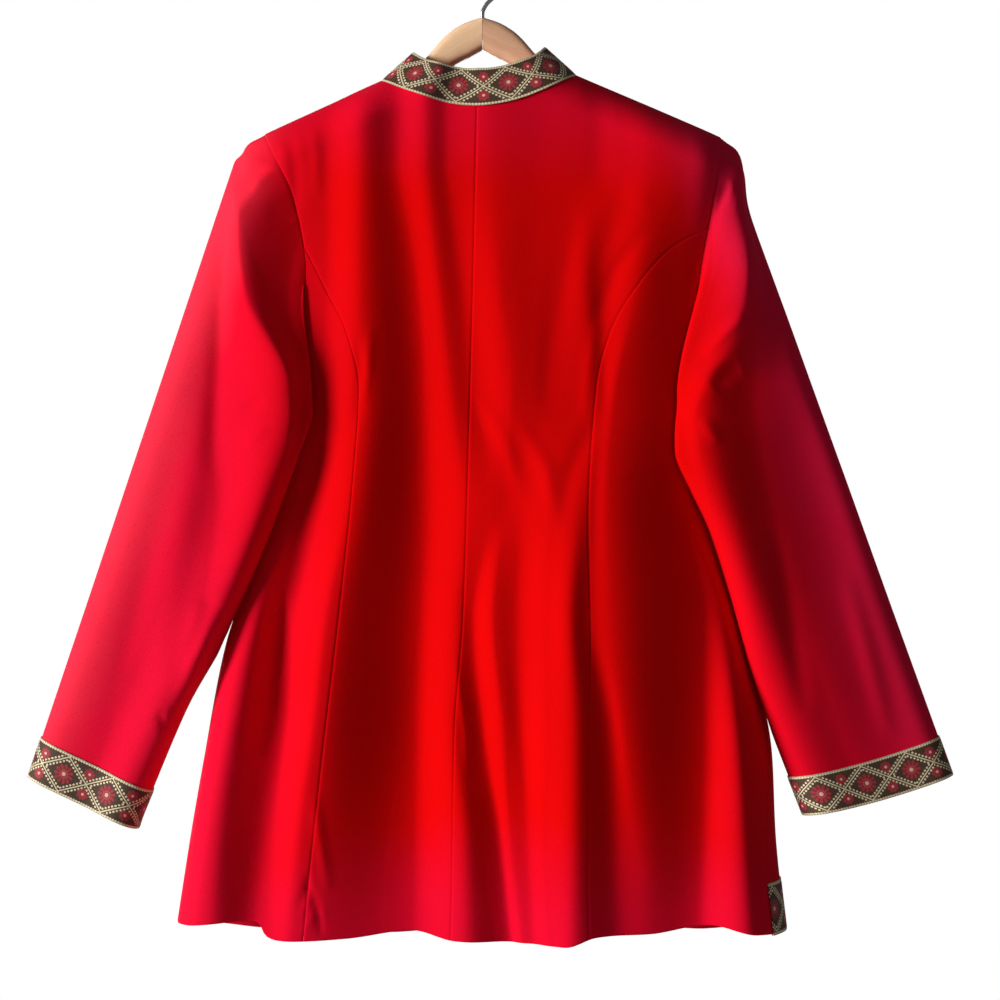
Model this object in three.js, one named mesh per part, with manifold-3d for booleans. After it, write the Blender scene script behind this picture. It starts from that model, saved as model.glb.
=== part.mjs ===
// A stand-collar blazer hanging on a wooden hanger, its back towards -Y.
//
// Millimetres, +Z up, +X to the wearer's right, +Y to the wearer's front. The origin is where the
// rail carries the hook, and heights are given as drops below it.
//
// The body is one hollow form, described by torsoPoint(): rings of named half-widths, whose depth
// is read from a few long folds. Panels are four-sided patches of that form between seam lines.
// Neighbours share the corner points of their grids along a seam, and stop short of it by half of
// the seam gap. A place on the form is {around, drop}: around is 0 at the middle of a face, -1 at
// the left side and 1 at the right, and past 1 it runs on over the other face.
import * as THREE from "three";
import Module from "manifold-3d";

// ---------------------------------------------------------------- driving sizes
const CLOTH = 1.8; // wall of the body and the sleeves
const BAND = 2.0; // wall of the stand collar
const TRIM = 1.0; // wall of the woven ribbon
const TRIM_LIFT = 0.3; // clearance between the ribbon and the cloth under it
const TRIM_WIDTH = 38; // on the collar and the cuffs
const HEM_TRIM_WIDTH = 46;
const SEAM_GAP = 0.7;
const CENTRE_FRONT = 0.6; // half of the extra gap between the two fronts
const COLLAR_BASE = 1.2; // from the neckline to the collar's lower edge

const APEX_DROP = 70; // where the two shoulder lines would meet over the neck
const SHOULDER = {
  left: { sign: -1, neck: -92, tip: -200, slope: 0.455 },
  right: { sign: 1, neck: 86, tip: 219, slope: 0.43 },
};
const SHOULDER_ROUNDING = 40; // drop over which the shoulder reaches the full depth
const BACK_NECK_DROP = 141;
const FRONT_NECK_DROP = 190;
const UNDERARM_DROP = 353;
const BAND_END = 847; // where the princess seams end

// ---------------------------------------------------------------- tables
// The two sides of the body at each drop.
const OUTLINE = [
  { drop: 120, left: -216, right: 238 },
  { drop: 260, left: -211, right: 222 },
  { drop: 353, left: -194, right: 204 },
  { drop: 400, left: -184, right: 196 },
  { drop: 480, left: -185, right: 199 },
  { drop: 550, left: -208, right: 219 },
  { drop: 631, left: -236, right: 245 },
  { drop: 731, left: -255, right: 266 },
  { drop: 800, left: -267, right: 269 },
  { drop: 903, left: -283, right: 280 },
];

// How boxy the ring is at its sides: 2 is an ellipse, and more is boxier.
const ROUNDNESS = [
  { drop: 170, power: 8 },
  { drop: 290, power: 5 },
  { drop: 893, power: 4.5 },
];

// The height of the hem of the back and of the front at each x.
const HEMS = {
  back: [
    { x: -283, drop: 884 },
    { x: -206, drop: 878 },
    { x: -199, drop: 880 },
    { x: -191, drop: 892 },
    { x: -180, drop: 895 },
    { x: -118, drop: 893 },
    { x: -62, drop: 887 },
    { x: -24, drop: 894 },
    { x: 72, drop: 896 },
    { x: 102, drop: 888 },
    { x: 148, drop: 887 },
    { x: 204, drop: 880 },
    { x: 244, drop: 888 },
    { x: 262, drop: 889 },
    { x: 280, drop: 887 },
  ],
  front: [
    { x: -283, drop: 886 },
    { x: -120, drop: 899 },
    { x: 0, drop: 903 },
    { x: 120, drop: 900 },
    { x: 240, drop: 892 },
    { x: 262, drop: 890 },
    { x: 280, drop: 889 },
  ],
};

// The long folds. Each row is one ridge or valley line: its x, and how far out of the middle plane
// the cloth stands there, at each of FOLD_DROPS.
const FOLD_DROPS = [200, 300, 400, 500, 600, 700, 800, 893];
const BACK_FOLDS = [
  { x: [-205, -196, -176, -178, -214, -241, -256, -268], out: [50, 48, 48, 50, 58, 80, 80, 74] },
  { x: [-142, -142, -146, -150, -172, -182, -190, -195], out: [45, 46, 48, 48, 32, 29, 38, 43] },
  { x: [-108, -109, -107, -118, -138, -150, -164, -172], out: [58, 59, 59, 61, 62, 65, 58, 51] },
  { x: [-76, -60, -54, -55, -58, -62, -62, -64], out: [50, 45, 41, 36, 33, 31, 31, 32] },
  { x: [-50, -38, -26, -14, -20, -24, -15, -12], out: [57, 52, 50, 54, 51, 53, 57, 54] },
  { x: [-30, -18, -8, 8, -9, -1, 14, 24], out: [53, 49, 48, 57, 50, 46, 45, 42] },
  { x: [10, 18, 28, 22, 11, 20, 26, 36], out: [57, 58, 59, 58, 62, 58, 53, 50] },
  { x: [56, 50, 44, 34, 30, 34, 40, 46], out: [54, 55, 58, 60, 60, 56, 55, 53] },
  { x: [88, 72, 62, 62, 58, 58, 56, 60], out: [53, 53, 56, 69, 74, 74, 67, 65] },
  { x: [104, 92, 96, 86, 78, 82, 82, 82], out: [52, 56, 57, 73, 84, 85, 81, 76] },
  { x: [124, 108, 108, 100, 98, 114, 120, 124], out: [54, 53, 57, 72, 77, 72, 65, 59] },
  { x: [150, 142, 120, 112, 116, 126, 138, 146], out: [58, 60, 60, 74, 79, 75, 66, 57] },
  { x: [180, 178, 172, 180, 200, 200, 198, 194], out: [60, 56, 57, 64, 60, 54, 52, 49] },
  { x: [212, 198, 186, 190, 222, 232, 240, 246], out: [66, 56, 60, 66, 72, 80, 86, 86] },
];
const FRONT_FOLDS = [
  { x: [-205, -186, -176, -178, -206, -232, -248, -256], out: [50, 50, 44, 42, 46, 50, 50, 48] },
  { x: [-164, -160, -150, -150, -170, -188, -200, -206], out: [48, 54, 50, 46, 42, 38, 34, 30] },
  { x: [-122, -114, -112, -120, -128, -134, -142, -150], out: [58, 70, 72, 66, 67, 68, 67, 66] },
  { x: [-76, -70, -70, -76, -80, -84, -88, -92], out: [56, 64, 66, 58, 54, 51, 47, 44] },
  { x: [-36, -34, -34, -34, -38, -42, -44, -46], out: [56, 63, 65, 64, 65, 66, 66, 66] },
  { x: [-6, -6, -6, -6, -6, -6, -6, -6], out: [56, 62, 62, 60, 60, 60, 61, 62] },
  { x: [6, 6, 6, 6, 6, 6, 6, 6], out: [56, 62, 62, 60, 60, 60, 61, 62] },
  { x: [40, 38, 38, 40, 44, 48, 51, 54], out: [56, 64, 66, 65, 64, 64, 64, 64] },
  { x: [80, 74, 72, 80, 88, 94, 98, 102], out: [54, 64, 66, 56, 52, 49, 45, 42] },
  { x: [126, 120, 116, 120, 132, 142, 150, 156], out: [58, 71, 73, 67, 69, 70, 69, 68] },
  { x: [170, 166, 154, 152, 174, 190, 202, 208], out: [48, 52, 49, 46, 43, 40, 37, 34] },
  { x: [212, 200, 186, 184, 214, 236, 248, 256], out: [50, 50, 45, 44, 49, 52, 51, 48] },
];

// The seams of the back, as x at each drop.
const CENTRE_BACK_SEAM = [
  { drop: 141, x: -4.5 },
  { drop: 227, x: -6.5 },
  { drop: 407, x: -11 },
  { drop: 599, x: -17 },
  { drop: 711, x: -25 },
  { drop: 893, x: -28 },
];
const PRINCESS_SEAMS = {
  left: [
    { drop: 308, x: -141 },
    { drop: 344, x: -123 },
    { drop: 395, x: -111 },
    { drop: 490, x: -117 },
    { drop: 579, x: -126 },
    { drop: 743, x: -145 },
    { drop: 893, x: -162 },
  ],
  right: [
    { drop: 269, x: 171 },
    { drop: 298, x: 144 },
    { drop: 344, x: 116 },
    { drop: 394, x: 103 },
    { drop: 518, x: 95 },
    { drop: 623, x: 97 },
    { drop: 722, x: 95 },
    { drop: 893, x: 94 },
  ],
};

// How far round the side seam has moved on to the back at each drop, or on to the front below 0.
const SIDE_SHIFTS = {
  left: [
    { drop: 353, shift: 0 },
    { drop: 600, shift: -0.02 },
    { drop: 893, shift: -0.07 },
  ],
  right: [
    { drop: 353, shift: 0 },
    { drop: 600, shift: 0.06 },
    { drop: 780, shift: 0.18 },
    { drop: 893, shift: 0.24 },
  ],
};

// The armholes, from the shoulder (part 0) to the underarm (part 1). Each starts at the shoulder
// tip, and the rows give the rest.
const ARMHOLES = {
  left: {
    back: [
      { part: 0.3, around: 0.6, drop: 223 },
      { part: 0.55, around: 0.56, drop: 278 },
      { part: 0.75, around: 0.6, drop: 316 },
      { part: 0.9, around: 0.77, drop: 344 },
      { part: 1, around: 1, drop: UNDERARM_DROP },
    ],
    front: [
      { part: 0.28, around: 0.62, drop: 223 },
      { part: 0.5, around: 0.58, drop: 278 },
      { part: 0.67, around: 0.62, drop: 316 },
      { part: 0.83, around: 0.79, drop: 344 },
      { part: 1, around: 1, drop: UNDERARM_DROP },
    ],
    princess: 0.5,
  },
  right: {
    back: [
      { part: 0.3, around: 0.745, drop: 223 },
      { part: 0.55, around: 0.725, drop: 278 },
      { part: 0.75, around: 0.735, drop: 316 },
      { part: 0.9, around: 0.82, drop: 344 },
      { part: 1, around: 1, drop: UNDERARM_DROP },
    ],
    front: [
      { part: 0.28, around: 0.68, drop: 223 },
      { part: 0.5, around: 0.62, drop: 278 },
      { part: 0.67, around: 0.66, drop: 316 },
      { part: 0.83, around: 0.8, drop: 344 },
      { part: 1, around: 1, drop: UNDERARM_DROP },
    ],
    princess: 0.42,
  },
};

// The sleeves. The outer edge is a straight line from (x, drop) that leans out by lean degrees, and
// its crown bulges out past that line at the shoulder. Each row is a section across it: the place
// along that line, the width, how far behind the middle plane the outer and the inner edge lie, and
// how thick the front half is. The cuff's inner edge is lower than its outer one by slant, along a
// line that is straight if bend is 1. Cap is how soon the outer edge takes the sleeve's own section.
const SLEEVES = {
  left: {
    x: -226.8,
    drop: 183.5,
    lean: 18.45,
    end: 597,
    slant: 13,
    bend: 1,
    cap: 31,
    crown: 0,
    sections: [
      { along: -40, width: 101, outer: 0, inner: 0, thick: 42 },
      { along: 60, width: 121, outer: 0, inner: 6, thick: 36 },
      { along: 130, width: 131, outer: 0, inner: 24, thick: 30 },
      { along: 184, width: 140, outer: 0, inner: 42, thick: 26 },
      { along: 206, width: 146, outer: 0, inner: 48, thick: 24 },
      { along: 240, width: 145, outer: 0, inner: 46, thick: 24 },
      { along: 280, width: 143, outer: 0, inner: 36, thick: 25 },
      { along: 355, width: 139, outer: 0, inner: 20, thick: 28 },
      { along: 415, width: 133, outer: 0, inner: 12, thick: 30 },
      { along: 495, width: 118, outer: 2, inner: 8, thick: 32 },
      { along: 597, width: 110, outer: 4, inner: 6, thick: 30 },
    ],
  },
  right: {
    x: 237.2,
    drop: 212,
    lean: 19.9,
    end: 571,
    slant: -15,
    bend: 2,
    cap: 20,
    crown: 9,
    sections: [
      { along: -60, width: 94, outer: 0, inner: 0, thick: 42 },
      { along: 40, width: 108, outer: 0, inner: 6, thick: 36 },
      { along: 95, width: 116, outer: 2, inner: 20, thick: 30 },
      { along: 163, width: 126, outer: 4, inner: 36, thick: 26 },
      { along: 191, width: 137, outer: 4, inner: 42, thick: 24 },
      { along: 212, width: 143, outer: 4, inner: 44, thick: 24 },
      { along: 244, width: 140, outer: 4, inner: 42, thick: 24 },
      { along: 287, width: 136, outer: 4, inner: 38, thick: 24 },
      { along: 344, width: 138, outer: 2, inner: 34, thick: 24 },
      { along: 432, width: 145, outer: 0, inner: 28, thick: 25 },
      { along: 571, width: 142, outer: 0, inner: 18, thick: 25 },
    ],
  },
};
const CROWN_AT = -22; // along the outer edge
const CROWN_SPREAD = 28;
const ARMPIT_LIFT = 3; // how far the sleeve starts outside the body there, where both run down
const ARMPIT_CLEARANCE = 5.5; // from the sleeve to the body's side further down
const ARMPIT_TOP = 290; // drop below which the sleeve keeps that clearance
const UNDERARM_TURN = 215; // degrees round the sleeve from the shoulder, over the back
const CAP_INNER = 75; // over which the sleeve's inner edge takes its own section
const SLEEVE_BOXINESS = 5;

// The back of a sleeve. Each row is one ridge or valley line: how far in from the outer edge it
// runs, and how far behind the middle plane it stands, at each of SLEEVE_FOLD_STOPS along it.
const SLEEVE_FOLD_STOPS = [0, 60, 120, 180, 240, 320, 420, 560];
const SLEEVE_BACK_FOLDS = {
  left: [
    { x: [1, 5, 14, 24, 36, 56, 66, 56], out: [18, 26, 27, 27, 30, 33, 32, 26] },
    { x: [5, 14, 28, 44, 60, 90, 104, 92], out: [24, 30, 30, 28, 31, 37, 42, 36] },
    { x: [10, 28, 58, 116, 133, 136, 126, 106], out: [46, 56, 61, 64, 66, 62, 50, 38] },
    { x: [50, 72, 98, 132, 142, 141, 132, 111], out: [40, 44, 46, 54, 60, 60, 49, 37] },
  ],
  right: [
    { x: [2, 6, 12, 14, 16, 18, 20, 20], out: [30, 36, 36, 28, 21, 19, 20, 18] },
    { x: [3, 12, 30, 52, 66, 78, 84, 84], out: [38, 48, 46, 36, 35, 37, 38, 30] },
    { x: [5, 20, 54, 112, 125, 132, 138, 135], out: [46, 54, 56, 58, 61, 62, 54, 42] },
    { x: [40, 58, 98, 130, 139, 138, 144, 141], out: [42, 44, 46, 52, 58, 60, 53, 41] },
  ],
};

// The stand collar's lean from upright in degrees. Turn is 0 at the centre front, 90 at the
// shoulder and 180 at the centre back.
const COLLAR_LEAN = [
  { turn: 0, lean: 8 },
  { turn: 60, lean: 28 },
  { turn: 95, lean: 49 },
  { turn: 140, lean: 34 },
  { turn: 180, lean: 27 },
];

// A hanger arm at each distance from the middle. Past the last row it follows the shoulder.
const HANGER_ARM = [
  { x: 0.15, top: 53.6, depth: 29.9 },
  { x: 15, top: 58.5, depth: 33 },
  { x: 28, top: 66, depth: 33 },
  { x: 36, top: 73, depth: 31 },
  { x: 43, top: 81, depth: 28 },
  { x: 50, top: 89, depth: 25 },
  { x: 60, top: 99, depth: 22 },
  { x: 72, top: 109, depth: 20 },
];
const HANGER_CLEARANCE = 7; // from the shoulder seam down to the wood
const HANGER_THICK = 20;
const HANGER_REACH = 195;
const HOOK_WIRE = 3.8;
const HOOK_RADIUS = 20; // from the rail to the middle of the wire
const HOOK_FOOT = 74;

const RED = { color: 0xc4071c, roughness: 0.85 };
const WOVEN = { color: 0x5b4a2c, roughness: 0.7 };
const WOOD = { color: 0xd6a77c, roughness: 0.45 };
const STEEL = { color: 0xb9bcc0, roughness: 0.25, metalness: 1 };

// ---------------------------------------------------------------- grids
const BAND_STEPS = 2; // rows of cells under the hem and cuff trim
const NECK_STEPS = 6;
const SHOULDER_STEPS = 7;
const YOKE_STEPS = 6; // along the armhole, from the shoulder to the princess seam
const SCYE_STEPS = 7; // along the armhole, from the princess seam to the underarm
const FRONT_SCYE_STEPS = 10;
const SKIRT_STEPS = 16;
const CAP_STEPS = 7;
const ARM_STEPS = 12;
const NECK_SHARE = 0.45; // of a panel's top edge
const YOKE_SHARE = 0.16; // of a centre back panel's outer edge
const SCYE_SHARE = 0.26; // of a front's outer edge

// ---------------------------------------------------------------- curves
const lerp = (a, b, t) => a + (b - a) * t;
const clamp01 = (t) => Math.min(1, Math.max(0, t));
const smoothstep = (t) => clamp01(t) ** 2 * (3 - 2 * clamp01(t));
const radians = (degrees) => (degrees * Math.PI) / 180;

// The smooth curve through (xs[i], ys[i]) that never overshoots. It is level at both ends if
// levelEnds is true, and past them it keeps the end's value.
function through(xs, ys, x, levelEnds = false) {
  const last = xs.length - 1;
  if (x <= xs[0]) return ys[0];
  if (x >= xs[last]) return ys[last];
  let i = 0;
  while (x > xs[i + 1]) i++;
  const rise = (k) => (ys[k + 1] - ys[k]) / (xs[k + 1] - xs[k]);
  const slopeAt = (k) => {
    if (k === 0) return levelEnds ? 0 : rise(0);
    if (k === last) return levelEnds ? 0 : rise(last - 1);
    const [before, after] = [rise(k - 1), rise(k)];
    return before * after <= 0 ? 0 : (2 * before * after) / (before + after);
  };
  const step = xs[i + 1] - xs[i];
  const t = (x - xs[i]) / step;
  const bend = slopeAt(i) * step * t * (1 - t) ** 2 - slopeAt(i + 1) * step * t * t * (1 - t);
  return lerp(ys[i], ys[i + 1], smoothstep(t)) + bend;
}

const readTable = (rows, key, column, at) =>
  through(rows.map((row) => row[key]), rows.map((row) => row[column]), at);

// Even steps from 0 to 1, in stretches of [steps, share of the whole].
function stretches(...parts) {
  const stops = [0];
  for (const [steps, share] of parts) {
    const start = stops[stops.length - 1];
    for (let k = 1; k <= steps; k++) stops.push(start + (share * k) / steps);
  }
  return stops;
}

// ---------------------------------------------------------------- the body's form
function ring(drop) {
  const left = readTable(OUTLINE, "drop", "left", drop);
  const right = readTable(OUTLINE, "drop", "right", drop);
  return { middle: (left + right) / 2, half: (right - left) / 2 };
}

function ringX(around, drop) {
  const { middle, half } = ring(drop);
  return middle + half * Math.sin((Math.PI / 2) * around);
}

function placeOf(x, drop) {
  const { middle, half } = ring(drop);
  const share = Math.max(-1, Math.min(1, (x - middle) / half));
  return { around: Math.asin(share) / (Math.PI / 2), drop };
}

// The height of the shoulder line, carried on over the neck.
function shoulderDrop(x) {
  const slope = lerp(SHOULDER.left.slope, SHOULDER.right.slope, smoothstep((x + 60) / 120));
  return APEX_DROP + slope * Math.hypot(x, 12);
}

// How much of its depth the cloth has at this height: none on the shoulder line, all further down.
function shoulderShare(x, drop) {
  const below = clamp01((drop - shoulderDrop(x)) / SHOULDER_ROUNDING);
  return Math.sqrt(Math.max(0, 1 - (1 - below) ** 2));
}

// How far out the cloth stands at x between folds given at these stops.
function foldDepth(stopsAt, folds, x, stop) {
  const places = folds.map((fold) => through(stopsAt, fold.x, stop));
  const depths = folds.map((fold) => through(stopsAt, fold.out, stop));
  return through(places, depths, x, true);
}

const bodyDepth = (side, x, drop) => foldDepth(FOLD_DROPS, side < 0 ? BACK_FOLDS : FRONT_FOLDS, x, drop);

// 1 at the middle of a section, where share is 0, and 0 at its ends, where it is -1 or 1.
const rounded = (share, power) => Math.sqrt(Math.max(0, 1 - Math.abs(share) ** power));

// A point of the body's outer face. Face is -1 for the back and +1 for the front.
function torsoPoint(face, around, drop) {
  const x = ringX(around, drop);
  const side = Math.cos((Math.PI / 2) * around) < 0 ? -face : face;
  const power = readTable(ROUNDNESS, "drop", "power", drop);
  const rounding = rounded(Math.sin((Math.PI / 2) * around), power);
  const y = side * bodyDepth(side, x, drop) * rounding * shoulderShare(x, drop);
  return new THREE.Vector3(x, y, -drop);
}

// The outward direction at a place on the body, from its slopes there.
function torsoNormal(face, around, drop) {
  const nudge = 0.002;
  const down = 0.4;
  const before = torsoPoint(face, around - nudge, drop);
  const across = torsoPoint(face, around + nudge, drop).sub(before);
  const along = torsoPoint(face, around, drop + down).sub(torsoPoint(face, around, drop));
  return across.cross(along).multiplyScalar(face).normalize();
}

const onTorso = (face, { around, drop }) => ({
  point: torsoPoint(face, around, drop),
  normal: torsoNormal(face, around, drop),
});

// ---------------------------------------------------------------- seam and edge lines
// Each gives the place on the body at a part of its way, from 0 to 1.
function armhole(hand, face, part) {
  const { sign, tip } = SHOULDER[hand];
  const start = placeOf(tip, shoulderDrop(tip));
  const first = { part: 0, around: Math.abs(start.around), drop: start.drop };
  const rows = [first, ...ARMHOLES[hand][face < 0 ? "back" : "front"]];
  return {
    around: sign * readTable(rows, "part", "around", part),
    drop: readTable(rows, "part", "drop", part),
  };
}

function neckline(hand, face, part) {
  const { sign, neck } = SHOULDER[hand];
  const centre = face < 0 ? CENTRE_BACK_SEAM[0].x : sign * CENTRE_FRONT;
  const scoop = face < 0 ? 1 - (1 - part) ** 1.9 : (1 - (1 - part) ** 2) ** 0.75;
  const drop = lerp(shoulderDrop(neck), face < 0 ? BACK_NECK_DROP : FRONT_NECK_DROP, scoop);
  return placeOf(lerp(neck, centre, part), drop);
}

function shoulderSeam(hand, part) {
  const { neck, tip } = SHOULDER[hand];
  const x = lerp(neck, tip, part);
  return placeOf(x, shoulderDrop(x));
}

// The hem's height, and that of the line over its trim.
const hemDrop = (face, around) =>
  readTable(HEMS[face < 0 ? "back" : "front"], "x", "drop", ringX(around, BAND_END));
const bandDrop = (face, around) => hemDrop(face, around) - HEM_TRIM_WIDTH;

function centreBack(part) {
  const low = bandDrop(-1, 0);
  const drop = lerp(BACK_NECK_DROP, low, part);
  return placeOf(readTable(CENTRE_BACK_SEAM, "drop", "x", drop), drop);
}

function centreFront(hand, part) {
  const low = bandDrop(1, 0);
  return placeOf(SHOULDER[hand].sign * CENTRE_FRONT, lerp(FRONT_NECK_DROP, low, part));
}

function princessSeam(hand, part) {
  const start = armhole(hand, -1, ARMHOLES[hand].princess);
  const rows = [{ drop: start.drop, x: ringX(start.around, start.drop) }, ...PRINCESS_SEAMS[hand]];
  const drop = lerp(start.drop, BAND_END, part);
  return placeOf(readTable(rows, "drop", "x", drop), drop);
}

function sideSeam(hand, face, part) {
  const { sign } = SHOULDER[hand];
  const drop = lerp(UNDERARM_DROP, bandDrop(face, sign), part);
  const shift = readTable(SIDE_SHIFTS[hand], "drop", "shift", drop);
  return { around: sign * (1 + face * shift), drop };
}

// ---------------------------------------------------------------- cloth walls
// A closed wall between an outer and an inner grid of points, grid[row][column]. Its cells are split
// along their shorter diagonal. Round a tube the last column joins the first.
function wall(outer, inner, tube = false) {
  const rows = outer.length;
  const columns = outer[0].length;
  const points = [outer, inner].flat(2);
  const index = [];
  const at = (layer, row, column) => (layer * rows + row) * columns + (column % columns);
  const apart = (a, b) => points[a].distanceTo(points[b]);
  const quad = (a, b, c, d) => {
    if (apart(a, c) < apart(b, d)) index.push(a, b, c, a, c, d);
    else index.push(b, c, d, b, d, a);
  };
  const across = tube ? columns : columns - 1;
  const low = rows - 1;
  for (let r = 0; r < low; r++) {
    for (let c = 0; c < across; c++) {
      quad(at(0, r, c), at(0, r + 1, c), at(0, r + 1, c + 1), at(0, r, c + 1));
      quad(at(1, r, c), at(1, r, c + 1), at(1, r + 1, c + 1), at(1, r + 1, c));
    }
  }
  for (let c = 0; c < across; c++) {
    quad(at(0, 0, c), at(0, 0, c + 1), at(1, 0, c + 1), at(1, 0, c));
    quad(at(0, low, c + 1), at(0, low, c), at(1, low, c), at(1, low, c + 1));
  }
  for (let r = 0; r < low && !tube; r++) {
    quad(at(0, r + 1, 0), at(0, r, 0), at(1, r, 0), at(1, r + 1, 0));
    quad(at(0, r, across), at(0, r + 1, across), at(1, r + 1, across), at(1, r, across));
  }
  return facingOut(solidOf(points.flatMap((p) => [p.x, p.y, p.z]), index));
}

function solidOf(position, index) {
  const geometry = new THREE.BufferGeometry();
  geometry.setAttribute("position", new THREE.Float32BufferAttribute(position, 3));
  geometry.setIndex(index);
  return geometry;
}

// Turns every face round if the solid is inside out.
function facingOut(geometry) {
  const index = geometry.index.array;
  const corner = (i) => new THREE.Vector3().fromBufferAttribute(geometry.attributes.position, index[i]);
  let volume = 0;
  for (let i = 0; i < index.length; i += 3) {
    volume += corner(i).dot(corner(i + 1).cross(corner(i + 2)));
  }
  for (let i = 0; volume < 0 && i < index.length; i += 3) {
    [index[i + 1], index[i + 2]] = [index[i + 2], index[i + 1]];
  }
  return geometry;
}

// The wall of a grid of {point, normal}: its outer face is lifted by lift, its inner one lies
// thick below that.
function gridWall(grid, thick, lift = 0, tube = false) {
  const moved = (distance) =>
    grid.map((row) => row.map(({ point, normal }) => point.clone().addScaledVector(normal, distance)));
  return wall(moved(lift), moved(lift - thick), tube);
}

// ---------------------------------------------------------------- body panels
// The place at (s, t) in the patch between four lines: s runs from near to far, t from top to
// bottom.
function patchPlace({ top, bottom, near, far }, s, t) {
  const sum = (...terms) => ({
    around: terms.reduce((total, [share, place]) => total + share * place.around, 0),
    drop: terms.reduce((total, [share, place]) => total + share * place.drop, 0),
  });
  return sum(
    [1 - s, near(t)],
    [s, far(t)],
    [1 - t, top(s)],
    [t, bottom(s)],
    [-(1 - s) * (1 - t), near(0)],
    [-s * (1 - t), far(0)],
    [-(1 - s) * t, near(1)],
    [-s * t, far(1)],
  );
}

// How far along a line, as a share, this distance from its start is reached.
function reach(line, distance) {
  const start = line(0);
  let [low, high] = [0, 0.1];
  for (let k = 0; k < 18; k++) {
    const middle = (low + high) / 2;
    if (line(middle).distanceTo(start) < distance) low = middle;
    else high = middle;
  }
  return high;
}

// A panel's grid: the patch, inset by half a seam gap all round, and the band over the hem below it.
function panelGrid(face, lines, rows, columns) {
  const pointAt = (s, t) => {
    const { around, drop } = patchPlace(lines, s, t);
    return torsoPoint(face, around, drop);
  };
  const half = SEAM_GAP / 2;
  const upper = columns.map((s) => reach((v) => pointAt(s, v), half));
  const places = rows.map((t) => {
    const first = reach((u) => pointAt(u, t), half);
    const last = 1 - reach((u) => pointAt(1 - u, t), half);
    return columns.map((s, c) => patchPlace(lines, lerp(first, last, s), lerp(upper[c], 1, t)));
  });
  const lowest = places[places.length - 1];
  for (let k = 1; k <= BAND_STEPS; k++) {
    places.push(
      lowest.map(({ around, drop }) => ({
        around,
        drop: lerp(drop, hemDrop(face, around), k / BAND_STEPS),
      })),
    );
  }
  return places.map((row) => row.map((place) => onTorso(face, place)));
}

// Two lines end to end: the first takes this share of the whole.
const joined = (first, second, share) => (t) =>
  t < share ? first(t / share) : second((t - share) / (1 - share));

// The line over the hem's trim between two places.
const bandLine = (face, from, to) => (s) => {
  const around = lerp(from.around, to.around, s);
  return { around, drop: lerp(from.drop, to.drop, s) + bow(face, from, to, around) };
};

// How much lower than a straight line the hem runs between two places.
function bow(face, from, to, around) {
  const span = to.around - from.around;
  const s = (around - from.around) / span;
  const straight = lerp(bandDrop(face, from.around), bandDrop(face, to.around), s);
  return bandDrop(face, around) - straight;
}

const neckAndShoulder = (hand, face) =>
  joined((s) => neckline(hand, face, 1 - s), (s) => shoulderSeam(hand, s), NECK_SHARE);
const topColumns = stretches([NECK_STEPS, NECK_SHARE], [SHOULDER_STEPS, 1 - NECK_SHARE]);

function backCentre(hand) {
  const { princess } = ARMHOLES[hand];
  const lines = {
    near: centreBack,
    far: joined((t) => armhole(hand, -1, t * princess), (t) => princessSeam(hand, t), YOKE_SHARE),
    top: neckAndShoulder(hand, -1),
    bottom: bandLine(-1, centreBack(1), princessSeam(hand, 1)),
  };
  const rows = stretches([YOKE_STEPS, YOKE_SHARE], [SKIRT_STEPS, 1 - YOKE_SHARE]);
  return panelGrid(-1, lines, rows, topColumns);
}

function backSide(hand) {
  const { princess } = ARMHOLES[hand];
  const lines = {
    near: (t) => princessSeam(hand, t),
    far: (t) => sideSeam(hand, -1, t),
    top: (s) => armhole(hand, -1, lerp(princess, 1, s)),
    bottom: bandLine(-1, princessSeam(hand, 1), sideSeam(hand, -1, 1)),
  };
  return panelGrid(-1, lines, stretches([SKIRT_STEPS, 1]), stretches([SCYE_STEPS, 1]));
}

function frontPanel(hand) {
  const lines = {
    near: (t) => centreFront(hand, t),
    far: joined((t) => armhole(hand, 1, t), (t) => sideSeam(hand, 1, t), SCYE_SHARE),
    top: neckAndShoulder(hand, 1),
    bottom: bandLine(1, centreFront(hand, 1), sideSeam(hand, 1, 1)),
  };
  const rows = stretches([FRONT_SCYE_STEPS, SCYE_SHARE], [SKIRT_STEPS, 1 - SCYE_SHARE]);
  return panelGrid(1, lines, rows, topColumns);
}

// ---------------------------------------------------------------- sleeves
// A point of the sleeve's own tube, at a distance along its outer line and degrees round it.
function tubePoint(hand, along, turn) {
  const { x, drop, lean, crown, sections } = SLEEVES[hand];
  const { sign } = SHOULDER[hand];
  const read = (column) => readTable(sections, "along", column, along);
  const share = (1 - Math.cos(radians(turn))) / 2;
  const across = read("width") * share;
  const behind = lerp(read("outer"), read("inner"), share);
  const back = foldDepth(SLEEVE_FOLD_STOPS, SLEEVE_BACK_FOLDS[hand], across, along) - behind;
  const far = (turn < 180 ? back : -read("thick")) * rounded(2 * share - 1, SLEEVE_BOXINESS);
  const bulge = crown * Math.exp(-(((along - CROWN_AT) / CROWN_SPREAD) ** 2)) * (1 - share);
  const [rise, run] = [Math.sin(radians(lean)), Math.cos(radians(lean))];
  return new THREE.Vector3(
    x + sign * (rise * along - run * across + bulge),
    -behind - far,
    -drop - run * along - rise * across,
  );
}

// Moves a point of the sleeve out, away from the side of the body.
function clearOfBody(hand, point, clearance) {
  const { sign } = SHOULDER[hand];
  const drop = -point.z;
  const { middle, half } = ring(drop);
  const depth = clamp01(Math.abs(point.y) / bodyDepth(point.y, point.x, drop));
  const power = readTable(ROUNDNESS, "drop", "power", drop);
  const side = half * (1 - depth ** 2) ** (1 / power) + clearance;
  const short = Math.max(0, side - sign * (point.x - middle));
  point.x += sign * short * smoothstep((drop - ARMPIT_TOP) / 30);
  return point;
}

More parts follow.
